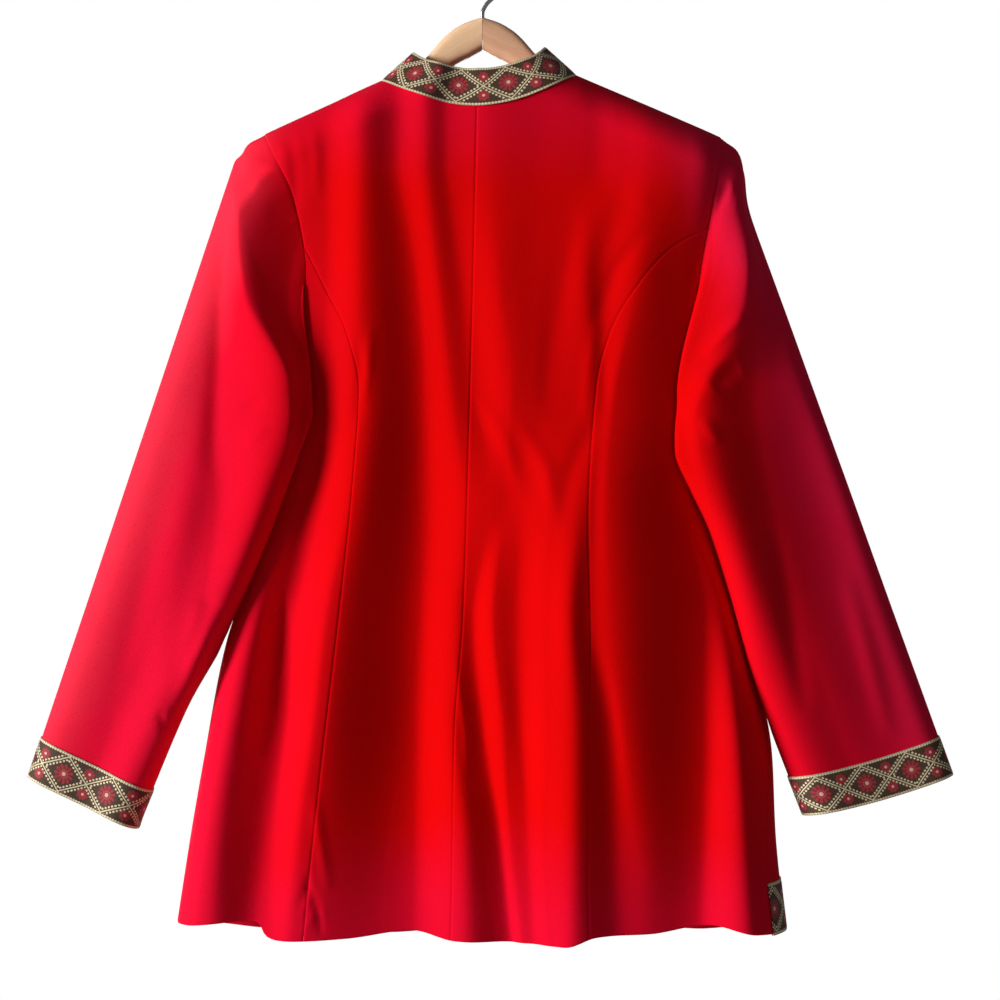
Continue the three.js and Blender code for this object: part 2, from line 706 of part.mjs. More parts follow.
// The armhole at this many degrees round the sleeve: 0 is the shoulder.
function armholeStart(hand, turn) {
  const face = turn <= UNDERARM_TURN ? -1 : 1;
  const part = face < 0 ? turn / UNDERARM_TURN : (360 - turn) / (360 - UNDERARM_TURN);
  const { point, normal } = onTorso(face, armhole(hand, face, part));
  const lift = ARMPIT_LIFT * smoothstep((part - 0.58) / 0.24);
  return { point: point.addScaledVector(normal, lift), normal };
}

// The columns of a sleeve meet the corner points of the panels round the armhole.
function sleeveTurns(hand) {
  const { princess } = ARMHOLES[hand];
  const back = stretches([YOKE_STEPS, princess], [SCYE_STEPS, 1 - princess]);
  const front = stretches([FRONT_SCYE_STEPS, 1]).slice(1, -1).reverse();
  return [
    ...back.map((part) => part * UNDERARM_TURN),
    ...front.map((part) => 360 - part * (360 - UNDERARM_TURN)),
  ];
}

// A column of the sleeve: it starts on the armhole, and takes the tube's own place further down.
function sleeveColumn(hand, turn) {
  const { x, drop, lean, end, slant, bend, cap } = SLEEVES[hand];
  const { sign } = SHOULDER[hand];
  const { point: start, normal } = armholeStart(hand, turn);
  const from =
    (start.x - x) * sign * Math.sin(radians(lean)) - (start.z + drop) * Math.cos(radians(lean));
  const apart = start.clone().sub(tubePoint(hand, from, turn));
  const inner = (1 - Math.cos(radians(turn))) / 2;
  const span = lerp(cap, CAP_INNER, inner);
  const cuff = end + slant * inner ** bend;
  const at = (along) => {
    const past = clamp01((along - from) / span);
    const still = 1 - lerp(past, smoothstep(past) ** 0.8, inner);
    const clearance = lerp(ARMPIT_LIFT, ARMPIT_CLEARANCE, clamp01((along - from) / 20));
    return clearOfBody(hand, tubePoint(hand, along, turn).addScaledVector(apart, still), clearance);
  };
  return { at, from: from + SEAM_GAP, cuff, normal };
}

function sleeveGrid(hand) {
  const shares = stretches([CAP_STEPS, 0.2], [ARM_STEPS, 0.8]);
  const column = (turn) => {
    const { at, from, cuff, normal } = sleeveColumn(hand, (turn + 360) % 360);
    const bandTop = cuff - TRIM_WIDTH;
    const stops = shares.map((share) => lerp(from, bandTop, share));
    for (let k = 1; k <= BAND_STEPS; k++) stops.push(lerp(bandTop, cuff, k / BAND_STEPS));
    return { normal, points: stops.map(at), below: stops.map((along) => at(along + 1)) };
  };
  const nudge = 0.5;
  const columns = sleeveTurns(hand).map((turn) => {
    const middle = column(turn);
    const before = column(turn - nudge).points;
    const after = column(turn + nudge).points;
    return middle.points.map((point, r) => {
      const across = after[r].clone().sub(before[r]);
      const down = middle.below[r].clone().sub(point);
      const normal = across.cross(down).multiplyScalar(SHOULDER[hand].sign).normalize();
      return { point, normal: r === 0 ? middle.normal : normal };
    });
  });
  return columns[0].map((_, r) => columns.map((points) => points[r]));
}

// ---------------------------------------------------------------- collar
function collarGrid() {
  const half = (hand) => {
    const front = stretches([NECK_STEPS, 1]).map((part) => ({ face: 1, part: 1 - part, turn: 90 * part }));
    const back = front.map(({ part }) => ({ face: -1, part: 1 - part, turn: 90 + 90 * (1 - part) }));
    return [...front, ...back.slice(1)].map((stop) => ({ hand, ...stop }));
  };
  const stops = [...half("right"), ...half("left").reverse().slice(1)];
  const heights = stretches([3, 1]).map((share) => COLLAR_BASE + share * TRIM_WIDTH);
  const column = ({ hand, face, part, turn }) => {
    const { point, normal } = onTorso(face, neckline(hand, face, part));
    const level = new THREE.Vector3(point.x, point.y * 1.4, 0).normalize();
    const lean = radians(readTable(COLLAR_LEAN, "turn", "lean", turn));
    const up = new THREE.Vector3(0, 0, Math.cos(lean)).addScaledVector(level, -Math.sin(lean));
    const outward = level.clone().multiplyScalar(Math.cos(lean));
    outward.z = Math.sin(lean);
    return heights.map((height, r) => ({
      point: point.clone().addScaledVector(up, height),
      normal: r === 0 ? level : outward,
    }));
  };
  const columns = stops.map(column);
  return heights.map((_, r) => columns.map((points) => points[r]));
}

// ---------------------------------------------------------------- hanger
const wasm = await Module();
wasm.setup();

function toSolid(geometry) {
  return new wasm.Manifold(
    new wasm.Mesh({
      numProp: 3,
      vertProperties: new Float32Array(geometry.attributes.position.array),
      triVerts: new Uint32Array(geometry.index.array),
    }),
  );
}

// A solid through closed sections with equally many points, with a flat cap on each end.
function loft(sections) {
  const sides = sections[0].length;
  const position = sections.flat().flatMap((p) => [p.x, p.y, p.z]);
  const end = (sections.length - 1) * sides;
  const index = [];
  for (let start = 0; start < end; start += sides) {
    for (let c = 0; c < sides; c++) {
      const next = (c + 1) % sides;
      index.push(start + c, start + sides + c, start + sides + next);
      index.push(start + c, start + sides + next, start + next);
    }
  }
  for (let c = 1; c + 1 < sides; c++) {
    index.push(0, c, c + 1);
    index.push(end, end + c + 1, end + c);
  }
  return facingOut(solidOf(position, index));
}

// A circle of points round a line through the middle, square to ahead in the plane y = 0.
const wireSection = (middle, ahead, radius, sides) =>
  Array.from({ length: sides }, (_, i) => {
    const turn = (2 * Math.PI * i) / sides;
    const side = new THREE.Vector3(ahead.z, 0, -ahead.x).multiplyScalar(radius * Math.cos(turn));
    return middle.clone().add(side).add(new THREE.Vector3(0, radius * Math.sin(turn), 0));
  });

function hangerArm(hand) {
  const { sign } = SHOULDER[hand];
  const sides = 12;
  const lastRow = HANGER_ARM[HANGER_ARM.length - 1];
  const along = [88, 104, 124, 146, 168, 183, 190, HANGER_REACH];
  const rows = [
    ...HANGER_ARM,
    ...along.map((x) => ({
      x,
      top: shoulderDrop(sign * x) + HANGER_CLEARANCE,
      depth: lastRow.depth * (x < 185 ? 1 : 0.75),
    })),
  ];
  const sections = rows.map(({ x, top, depth }) => {
    const boxy = (v) => Math.sign(v) * Math.abs(v) ** 0.6;
    const thick = HANGER_THICK * (x < 188 ? 1 : 0.8);
    return Array.from({ length: sides }, (_, k) => {
      const turn = (2 * Math.PI * k) / sides;
      const y = (thick / 2) * boxy(Math.sin(turn));
      return new THREE.Vector3(sign * x, y, -top - (depth / 2) * (1 - boxy(Math.cos(turn))));
    });
  });
  const down = new THREE.Vector3(0, 0, -1);
  const socket = loft(
    [40, HOOK_FOOT + 0.3].map((depth) =>
      wireSection(new THREE.Vector3(0, 0, -depth), down, HOOK_WIRE / 2 + 0.3, 12),
    ),
  );
  const { vertProperties, triVerts } = toSolid(loft(sections)).subtract(toSolid(socket)).getMesh();
  return solidOf([...vertProperties], [...triVerts]);
}

// The hook's wire, from the foot of its shank, over the rail and down to its tip.
function hook() {
  const centre = HOOK_WIRE / 2 - HOOK_RADIUS;
  const route = [
    [0, -HOOK_FOOT],
    [0, -60],
    [0, -50],
    [3, -42.5],
  ];
  const [first, last, steps] = [-60, 205, 18];
  for (let k = 0; k <= steps; k++) {
    const angle = radians(lerp(first, last, k / steps));
    route.push([HOOK_RADIUS * Math.cos(angle), centre + HOOK_RADIUS * Math.sin(angle)]);
  }
  const wire = new THREE.CatmullRomCurve3(route.map(([x, z]) => new THREE.Vector3(x, 0, z)));
  const rings = 34;
  const sections = Array.from({ length: rings + 1 }, (_, k) =>
    wireSection(wire.getPointAt(k / rings), wire.getTangentAt(k / rings), HOOK_WIRE / 2, 8),
  );
  return loft(sections);
}

// ---------------------------------------------------------------- the garment
const garment = new THREE.Group();

function add(name, geometry, look) {
  const mesh = new THREE.Mesh(geometry, new THREE.MeshStandardMaterial(look));
  mesh.name = name;
  garment.add(mesh);
}

for (const hand of ["left", "right"]) {
  const sleeve = sleeveGrid(hand);
  const front = frontPanel(hand);
  const underTrim = (grid) => grid.slice(-BAND_STEPS - 1);
  const lift = TRIM_LIFT + TRIM;
  add(`back_centre_${hand}`, gridWall(backCentre(hand), CLOTH), RED);
  add(`back_side_${hand}`, gridWall(backSide(hand), CLOTH), RED);
  add(`front_${hand}`, gridWall(front, CLOTH), RED);
  add(`sleeve_${hand}`, gridWall(sleeve, CLOTH, 0, true), RED);
  add(`cuff_ribbon_${hand}`, gridWall(underTrim(sleeve), TRIM, lift, true), WOVEN);
  add(`hem_ribbon_${hand}`, gridWall(underTrim(front), TRIM, lift), WOVEN);
  add(`hanger_arm_${hand}`, hangerArm(hand), WOOD);
}
const collar = collarGrid();
add("stand_collar", gridWall(collar, BAND), RED);
add("collar_ribbon", gridWall(collar, TRIM, TRIM_LIFT + TRIM), WOVEN);
add("hanger_hook", hook(), STEEL);

export default garment;
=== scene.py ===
"""A red stand-collar blazer on a wooden hanger, with its back towards the camera.

The body, the sleeves and the collar repeat the form of the CAD model in finer grids: the same
tables in millimetres, with drops measured down from the rail. Meshes are made in metres.
"""
import math

import bmesh
import bpy
import numpy as np
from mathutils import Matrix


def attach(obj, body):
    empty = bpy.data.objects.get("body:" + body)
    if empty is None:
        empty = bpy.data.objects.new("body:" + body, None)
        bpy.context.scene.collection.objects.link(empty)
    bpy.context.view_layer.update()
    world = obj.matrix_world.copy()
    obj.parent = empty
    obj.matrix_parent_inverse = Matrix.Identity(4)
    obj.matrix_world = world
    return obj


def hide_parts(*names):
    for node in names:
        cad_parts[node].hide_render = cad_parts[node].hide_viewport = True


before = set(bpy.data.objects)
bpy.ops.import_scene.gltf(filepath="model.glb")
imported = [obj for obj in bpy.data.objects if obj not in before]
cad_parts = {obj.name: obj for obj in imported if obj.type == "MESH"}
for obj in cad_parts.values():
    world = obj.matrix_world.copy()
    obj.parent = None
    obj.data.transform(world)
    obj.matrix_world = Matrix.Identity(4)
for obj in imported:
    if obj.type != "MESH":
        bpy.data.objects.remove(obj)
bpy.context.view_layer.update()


MM = 0.001

# -------------------- driving sizes, mm
CLOTH = 1.6
BAND = 2.0
TRIM = 1.0
TRIM_LIFT = 0.3
TRIM_WIDTH = 38
HEM_TRIM_WIDTH = 46
SEAM_GAP = 0.03
ROLL_WIDTH = 0.8  # how far from an edge of the cloth its roll is felt
CENTRE_FRONT = 0.6
COLLAR_BASE = 0.3
COLLAR_HEIGHT = 38.9
TRIM_OVERLAP = 1.8  # how far the collar's trim comes down over the neck seam

APEX_DROP = 70
SHOULDER = {
    "left": {"sign": -1, "neck": -92, "tip": -200, "slope": 0.455},
    "right": {"sign": 1, "neck": 86, "tip": 219, "slope": 0.43},
}
SHOULDER_ROUNDING = 40
APEX_ROUNDING = 12
SLOPE_BLEND = 60  # where one shoulder's slope has turned into the other's, on each side
BACK_NECK_DROP = 141
FRONT_NECK_DROP = 190
UNDERARM_DROP = 353
BAND_END = 847  # where the princess seams turn into the hem's edge

# drop, left, right
OUTLINE = np.array([
    [120, -216, 238],
    [260, -211, 222],
    [353, -194, 204],
    [400, -184, 196],
    [480, -185, 199],
    [550, -208, 219],
    [631, -236, 245],
    [731, -255, 266],
    [800, -267, 269],
    [903, -283, 280],
], float)
# drop, power: 2 is an ellipse, and more is boxier
ROUNDNESS = np.array([[170, 8], [290, 5], [893, 4.5]])
# x, drop
HEMS = {
    -1: [[-283, 884], [-206, 878], [-199, 880], [-191, 892], [-180, 895], [-118, 893],
         [-62, 887], [-24, 894], [72, 896], [102, 888], [148, 887], [204, 880], [244, 888],
         [262, 889], [280, 887]],
    1: [[-283, 886], [-120, 899], [0, 903], [120, 900], [240, 892], [262, 890], [280, 889]],
}

# drop at each place of the body's folds
FOLD_DROPS = [200, 300, 400, 500, 600, 700, 800, 893]
# (x, how far out) at each of these drops
BACK_FOLDS = [
    ([-205, -196, -176, -178, -214, -241, -256, -268], [50, 48, 48, 50, 58, 80, 80, 74]),
    ([-142, -142, -146, -150, -172, -182, -190, -195], [45, 46, 48, 48, 32, 29, 38, 43]),
    ([-108, -109, -107, -118, -138, -150, -164, -172], [58, 59, 59, 61, 62, 65, 58, 51]),
    ([-76, -60, -54, -55, -58, -62, -62, -64], [50, 45, 41, 36, 33, 31, 31, 32]),
    ([-50, -38, -26, -14, -20, -24, -15, -12], [57, 52, 50, 54, 51, 53, 57, 54]),
    ([-30, -18, -8, 8, -9, -1, 14, 24], [53, 49, 48, 57, 50, 46, 45, 42]),
    ([10, 18, 28, 22, 11, 20, 26, 36], [57, 58, 59, 58, 62, 58, 53, 50]),
    ([56, 50, 44, 34, 30, 34, 40, 46], [54, 55, 58, 60, 60, 56, 55, 53]),
    ([88, 72, 62, 62, 58, 58, 56, 60], [53, 53, 56, 69, 74, 74, 67, 65]),
    ([104, 92, 96, 86, 78, 82, 82, 82], [52, 56, 57, 73, 84, 85, 81, 76]),
    ([124, 108, 108, 100, 98, 114, 120, 124], [54, 53, 57, 72, 77, 72, 65, 59]),
    ([150, 142, 120, 112, 116, 126, 138, 146], [58, 60, 60, 74, 79, 75, 66, 57]),
    ([180, 178, 172, 180, 200, 200, 198, 194], [60, 56, 57, 64, 60, 54, 52, 49]),
    ([212, 198, 186, 190, 222, 232, 240, 246], [66, 56, 60, 66, 72, 80, 86, 86]),
]
FRONT_FOLDS = [
    ([-205, -186, -176, -178, -206, -232, -248, -256], [50, 50, 44, 42, 46, 50, 50, 48]),
    ([-164, -160, -150, -150, -170, -188, -200, -206], [48, 54, 50, 46, 42, 38, 34, 30]),
    ([-122, -114, -112, -120, -128, -134, -142, -150], [58, 70, 72, 66, 67, 68, 67, 66]),
    ([-76, -70, -70, -76, -80, -84, -88, -92], [56, 64, 66, 58, 54, 51, 47, 44]),
    ([-36, -34, -34, -34, -38, -42, -44, -46], [56, 63, 65, 64, 65, 66, 66, 66]),
    ([-6] * 8, [56, 62, 62, 60, 60, 60, 61, 62]),
    ([6] * 8, [56, 62, 62, 60, 60, 60, 61, 62]),
    ([40, 38, 38, 40, 44, 48, 51, 54], [56, 64, 66, 65, 64, 64, 64, 64]),
    ([80, 74, 72, 80, 88, 94, 98, 102], [54, 64, 66, 56, 52, 49, 45, 42]),
    ([126, 120, 116, 120, 132, 142, 150, 156], [58, 71, 73, 67, 69, 70, 69, 68]),
    ([170, 166, 154, 152, 174, 190, 202, 208], [48, 52, 49, 46, 43, 40, 37, 34]),
    ([212, 200, 186, 184, 214, 236, 248, 256], [50, 50, 45, 44, 49, 52, 51, 48]),
]

# drop, x
CENTRE_BACK_SEAM = np.array([
    [141, -4.5], [227, -6.5], [407, -11], [599, -17], [711, -25], [893, -28],
])
PRINCESS_SEAMS = {
    "left": [[308, -141], [344, -123], [395, -111], [490, -117], [579, -126], [743, -145],
             [893, -162]],
    "right": [[269, 171], [298, 144], [344, 116], [394, 103], [518, 95], [623, 97], [722, 95],
              [893, 94]],
}
# drop, how far round the side seam has moved on to the back
SIDE_SHIFTS = {
    "left": np.array([[353, 0], [600, -0.02], [893, -0.07]]),
    "right": np.array([[353, 0], [600, 0.06], [780, 0.18], [893, 0.24]]),
}
# The armholes at these drops: the part of the way down each face, and how far round that is
ARMHOLE_DROPS = [223, 278, 316, 344, 353]
ARMHOLE_PARTS = {-1: [0.3, 0.55, 0.75, 0.9, 1], 1: [0.28, 0.5, 0.67, 0.83, 1]}
ARMHOLE_ROUND = {
    ("left", -1): [0.6, 0.56, 0.6, 0.77, 1],
    ("left", 1): [0.62, 0.58, 0.62, 0.79, 1],
    ("right", -1): [0.745, 0.725, 0.735, 0.82, 1],
    ("right", 1): [0.68, 0.62, 0.66, 0.8, 1],
}
PRINCESS_PART = {"left": 0.5, "right": 0.42}

# along, width, how far behind the outer edge and the inner edge lie, thickness of the front half
SLEEVES = {
    "left": {
        "x": -226.8, "drop": 183.5, "lean": 18.45, "end": 597, "slant": 13, "bend": 1,
        "cap": 31, "crown": 0,
        "sections": np.array([
            [-40, 101, 0, 0, 42],
            [60, 121, 0, 6, 36],
            [130, 131, 0, 24, 30],
            [184, 140, 0, 42, 26],
            [206, 146, 0, 48, 24],
            [240, 145, 0, 46, 24],
            [280, 143, 0, 36, 25],
            [355, 139, 0, 20, 28],
            [415, 133, 0, 12, 30],
            [495, 118, 2, 8, 32],
            [597, 110, 4, 6, 30],
        ], float),
    },
    "right": {
        "x": 237.2, "drop": 212, "lean": 19.9, "end": 571, "slant": -15, "bend": 2,
        "cap": 20, "crown": 9,
        "sections": np.array([
            [-60, 94, 0, 0, 42],
            [40, 108, 0, 6, 36],
            [95, 116, 2, 20, 30],
            [163, 126, 4, 36, 26],
            [191, 137, 4, 42, 24],
            [212, 143, 4, 44, 24],
            [244, 140, 4, 42, 24],
            [287, 136, 4, 38, 24],
            [344, 138, 2, 34, 24],
            [432, 145, 0, 28, 25],
            [571, 142, 0, 18, 25],
        ], float),
    },
}
# along the sleeve at each place of its folds
SLEEVE_FOLD_STOPS = [0, 60, 120, 180, 240, 320, 420, 560]
# (how far from the outer edge, how far behind) at each of these
SLEEVE_BACK_FOLDS = {
    "left": [
        ([1, 5, 14, 24, 36, 56, 66, 56], [18, 26, 27, 27, 30, 33, 32, 26]),
        ([5, 14, 28, 44, 60, 90, 104, 92], [24, 30, 30, 28, 31, 37, 42, 36]),
        ([10, 28, 58, 116, 133, 136, 126, 106], [46, 56, 61, 64, 66, 62, 50, 38]),
        ([50, 72, 98, 132, 142, 141, 132, 111], [40, 44, 46, 54, 60, 60, 49, 37]),
    ],
    "right": [
        ([2, 6, 12, 14, 16, 18, 20, 20], [30, 36, 36, 28, 21, 19, 20, 18]),
        ([3, 12, 30, 52, 66, 78, 84, 84], [38, 48, 46, 36, 35, 37, 38, 30]),
        ([5, 20, 54, 112, 125, 132, 138, 135], [46, 54, 56, 58, 61, 62, 54, 42]),
        ([40, 58, 98, 130, 139, 138, 144, 141], [42, 44, 46, 52, 58, 60, 53, 41]),
    ],
}
ARMPIT_LIFT = 3
ARMPIT_CLEARANCE = 5.5
ARMPIT_TOP = 290
ARMPIT_BLEND = 30
LIFT_FROM, LIFT_BLEND = 0.58, 0.24  # the part of the armhole where the lift begins
UNDERARM_TURN = 215
CAP_INNER = 75
SLEEVE_BOXINESS = 5
CROWN_AT, CROWN_SPREAD = -22, 28
HEAD_TURN, HEAD_TURN_BLEND = 95, 60  # how far round the sleeve its head's roll goes, degrees
HEAD_LENGTH, HEAD_ROLL = 26, 2.6
PUCKERS, PUCKER_SHARE = 17, 0.35

# turn, lean
COLLAR_LEAN = np.array([[0, 8], [60, 28], [95, 49], [140, 34], [180, 27]], float)

# x, top, depth
HANGER_ARM = np.array([
    [0.15, 53.6, 29.9], [15, 58.5, 33], [28, 66, 33], [36, 73, 31], [43, 81, 28], [50, 89, 25],
    [60, 99, 22], [72, 109, 20],
])
HANGER_CLEARANCE = 7
HANGER_THICK = 20
ARM_TIP, ARM_DEPTH, ARM_TIP_DEPTH = 185, 20, 15
HANGER_REACH = 195
ARM_STATIONS = np.array([88, 104, 124, 146, 168, 183, 190, HANGER_REACH], float)
ARM_END_ROUNDING = 6
ARM_BOXINESS = 0.62
HOOK_WIRE = 3.8
HOOK_RADIUS = 20
HOOK_FOOT = 74
HOOK_TURNS = (-60, 205)
HOOK_SHANK = [[0, -HOOK_FOOT], [0, -66], [0, -58], [0, -50], [3, -42.5]]
HOOK_END_ROUNDING = 1.6
# the share of a panel's edge that its first seam takes
YOKE_SHARE = 0.16
SCYE_SHARE = 0.26
NECK_SHARE = 0.45


# -------------------- curves
def lerp(a, b, t):
    return a + (b - a) * t


def smoothstep(t):
    t = np.clip(t, 0, 1)
    return t * t * (3 - 2 * t)


def through(xs, ys, x, level_ends=False):
    """The smooth curve through (xs[i], ys[i]) that never overshoots, for every x of an array.
    xs and ys are lists, or have a value of their own for each x."""
    x = np.asarray(x, float)

    def spread(values):
        values = np.asarray(values, float)
        if values.ndim == 1:
            values = values.reshape(-1, *[1] * x.ndim)
        return np.broadcast_to(values, (values.shape[0], *x.shape))

    xs, ys = spread(xs), spread(ys)
    rise = np.diff(ys, axis=0) / np.diff(xs, axis=0)
    before, after = rise[:-1], rise[1:]
    steady = before * after > 0
    middle = np.where(steady, 2 * before * after / np.where(steady, before + after, 1), 0)
    ends = (rise[:1] * 0, rise[-1:] * 0) if level_ends else (rise[:1], rise[-1:])
    slopes = np.concatenate([ends[0], middle, ends[1]])
    x = np.clip(x, xs[0], xs[-1])
    low = np.sum(x > xs[1:-1], axis=0)[None]

    def pick(values, k):
        return np.take_along_axis(values, k, axis=0)[0]

    start, end = pick(ys, low), pick(ys, low + 1)
    step = pick(xs, low + 1) - pick(xs, low)
    t = (x - pick(xs, low)) / step
    leave = pick(slopes, low) * step * t * (1 - t) ** 2
    arrive = pick(slopes, low + 1) * step * t * t * (1 - t)
    return lerp(start, end, smoothstep(t)) + (leave - arrive)


def read(table, at, column=1):
    table = np.asarray(table, float)
    return through(table[:, 0], table[:, column], at)


def unit(vectors):
    return vectors / np.maximum(np.linalg.norm(vectors, axis=-1, keepdims=True), 1e-12)


# -------------------- the body's form
def ring(drop):
    left, right = read(OUTLINE, drop, 1), read(OUTLINE, drop, 2)
    return (left + right) / 2, (right - left) / 2


def ring_x(around, drop):
    middle, half = ring(drop)
    return middle + half * np.sin(math.pi / 2 * around)


def around_of(x, drop):
    middle, half = ring(drop)
    return np.arcsin(np.clip((x - middle) / half, -1, 1)) / (math.pi / 2)


def shoulder_drop(x):
    blend = smoothstep((x + SLOPE_BLEND) / (2 * SLOPE_BLEND))
    slope = lerp(SHOULDER["left"]["slope"], SHOULDER["right"]["slope"], blend)
    return APEX_DROP + slope * np.hypot(x, APEX_ROUNDING)


def shoulder_share(x, drop):
    below = np.clip((drop - shoulder_drop(x)) / SHOULDER_ROUNDING, 0, 1)
    return np.sqrt(np.maximum(0, 1 - (1 - below) ** 2))


def fold_depth(stops_at, folds, x, drop):
    places = np.array([through(stops_at, fold[0], drop) for fold in folds])
    depths = np.array([through(stops_at, fold[1], drop) for fold in folds])
    return through(places, depths, x, True)


def body_depth(face, x, drop):
    """How far out the folds of the back (face -1) or the front (1) stand, before the rounding."""
    back, front = (fold_depth(FOLD_DROPS, folds, x, drop) for folds in (BACK_FOLDS, FRONT_FOLDS))
    return np.where(face < 0, back, front)


def rounded(share, power):
    """1 at the middle of a section, where share is 0, and 0 at its ends, where it is -1 or 1."""
    return np.sqrt(np.maximum(0, 1 - np.abs(share) ** power))


def torso_point(face, around, drop):
    around, drop = np.broadcast_arrays(np.asarray(around, float), np.asarray(drop, float))
    x = ring_x(around, drop)
    turned = np.cos(math.pi / 2 * around)
    side = np.where(turned < 0, -face, face)
    rounding = rounded(np.sin(math.pi / 2 * around), read(ROUNDNESS, drop))
    small = np.where(side < 0, creases("back", x, drop), creases("front", x, drop))
    y = side * (body_depth(side, x, drop) + small) * rounding * shoulder_share(x, drop)
    return np.stack([x, y, -drop], axis=-1)


def torso_normal(face, around, drop):
    nudge, down = 0.002, 0.4
    across = torso_point(face, around + nudge, drop) - torso_point(face, around - nudge, drop)
    along = torso_point(face, around, drop + down) - torso_point(face, around, drop)
    return unit(np.cross(across, along) * face)


# Small creases: the points of its line as x and drop, its width, and its height, below 0 for a
# trough.
CREASES = {
    "back": [
        ([(-206, 690), (-211, 770), (-215, 850), (-220, 980)], 24, -11),
        ([(-146, 440), (-166, 524), (-184, 587), (-190, 632), (-194, 659), (-204, 730)], 13, -14),
        ([(-246, 660), (-254, 780), (-266, 880), (-276, 980)], 9, 6),
        ([(-176, 160), (-169, 196), (-167, 240)], 5, -1.8),
        ([(-153, 156), (-149, 190), (-150, 226)], 5, 1.4),
        ([(-190, 176), (-184, 196)], 6, -1.6),
        ([(-112, 350), (-109, 385), (-112, 430)], 5, -1.8),
        ([(-100, 340), (-103, 380), (-108, 412)], 5, 1.4),
        ([(-168, 866), (-158, 850), (-156, 830)], 3, -1.6),
        ([(-157, 842), (-148, 866), (-144, 890)], 3, -1.8),
        ([(-162, 884), (-152, 872), (-138, 868)], 2.6, 1.4),
        ([(-150, 760), (-146, 800), (-138, 850)], 5, 1.6),
        ([(-24, 640), (-15, 700), (-12, 740)], 4, 1.5),
        ([(30, 420), (58, 470), (66, 520)], 8, 1.6),
        ([(104, 420), (80, 470), (70, 520)], 8, -1.6),
        ([(-10, 390), (18, 440), (40, 500)], 7, 1.3),
        ([(104, 330), (96, 380), (92, 430)], 5, 1.2),
        ([(150, 250), (120, 290), (104, 340)], 7, -1.5),
    ],
    "front": [
        ([(-176, 372), (-130, 402), (-100, 452)], 8, -2.0),
        ([(174, 370), (132, 404), (104, 450)], 8, -2.0),
        ([(-150, 200), (-140, 260), (-146, 320)], 7, 1.5),
        ([(152, 206), (146, 262), (150, 322)], 7, 1.5),
        ([(-60, 470), (-90, 540), (-104, 640)], 10, 2.0),
        ([(66, 480), (96, 560), (110, 660)], 10, 2.0),
        ([(-200, 640), (-206, 740), (-214, 850)], 11, -2.6),
        ([(204, 640), (212, 740), (218, 850)], 11, -2.6),
    ],
    "sleeve_left": [
        ([(-234, 240), (-237, 317), (-242, 407), (-245, 480)], 9, -3.2),
        ([(-243, 583), (-263, 640)], 7, -2.4),
        ([(-297, 533), (-322, 630), (-344, 716)], 10, -0.8),
        ([(-254, 400), (-261, 470), (-272, 524), (-285, 590), (-300, 660)], 18, 5.5),
        ([(-248, 590), (-256, 640), (-270, 690)], 12, 6),
        ([(-293, 687), (-283, 716)], 4, -1.6),
        ([(-196, 404), (-218, 420)], 5, -1.6),
        ([(-192, 432), (-214, 446)], 5, 1.3),
    ],
    "sleeve_right": [
        ([(236, 330), (220, 345), (200, 368)], 6, 3.0),
        ([(232, 376), (218, 384), (208, 396)], 9, -3.5),
        ([(221, 198), (217, 216), (213, 238)], 6, -2.8),
        ([(196, 424), (214, 446)], 6, 1.8),
        ([(262, 520), (276, 600), (292, 690)], 9, -2.0),
        ([(330, 560), (352, 640), (372, 716)], 9, 1.8),
    ],
}


def creases(name, x, drop):
    """How much further out the cloth of a part stands because of its small creases."""
    total = np.zeros_like(x)
    for points, width, height in CREASES[name]:
        best = np.full(x.shape, np.inf)
        share = np.zeros_like(x)
        last = len(points) - 1
        for k in range(last):
            (x0, d0), (x1, d1) = points[k], points[k + 1]
            length = (x1 - x0) ** 2 + (d1 - d0) ** 2
            t = np.clip(((x - x0) * (x1 - x0) + (drop - d0) * (d1 - d0)) / length, 0, 1)
            away = np.hypot(x - x0 - t * (x1 - x0), drop - d0 - t * (d1 - d0))
            closer = away < best
            best = np.where(closer, away, best)
            share = np.where(closer, (k + t) / last, share)
        fade = np.sin(math.pi * share) ** 0.7
        total += height * fade * np.exp(-((best / width) ** 2))
    return total


# -------------------- seam and edge lines
# Each gives (around, drop) at a part of its way, for an array of parts.
def place_of(x, drop):
    return np.array([around_of(x, drop), drop + 0 * x])


def armhole(hand, face, part):
    sign, tip = SHOULDER[hand]["sign"], SHOULDER[hand]["tip"]
    drop = shoulder_drop(np.array(float(tip)))
    parts = [0, *ARMHOLE_PARTS[face]]
    arounds = [abs(float(around_of(float(tip), drop))), *ARMHOLE_ROUND[hand, face]]
    drops = [float(drop), *ARMHOLE_DROPS]
    return np.array([sign * through(parts, arounds, part), through(parts, drops, part)])


def neckline(hand, face, part):
    sign, neck = SHOULDER[hand]["sign"], SHOULDER[hand]["neck"]
    part = np.clip(part, 0, 1)
    centre = CENTRE_BACK_SEAM[0, 1] if face < 0 else sign * CENTRE_FRONT
    scoop = 1 - (1 - part) ** 1.9 if face < 0 else (1 - (1 - part) ** 2) ** 0.75
    low = BACK_NECK_DROP if face < 0 else FRONT_NECK_DROP
    return place_of(lerp(neck, centre, part), lerp(shoulder_drop(float(neck)), low, scoop))


def shoulder_seam(hand, part):
    x = lerp(SHOULDER[hand]["neck"], SHOULDER[hand]["tip"], part)
    return place_of(x, shoulder_drop(x))


def hem_drop(face, around):
    return read(HEMS[face], ring_x(around, BAND_END))


def band_drop(face, around):
    return hem_drop(face, around) - HEM_TRIM_WIDTH


def centre_back(part):
    drop = lerp(BACK_NECK_DROP, band_drop(-1, 0), part)
    return place_of(read(CENTRE_BACK_SEAM, drop), drop)


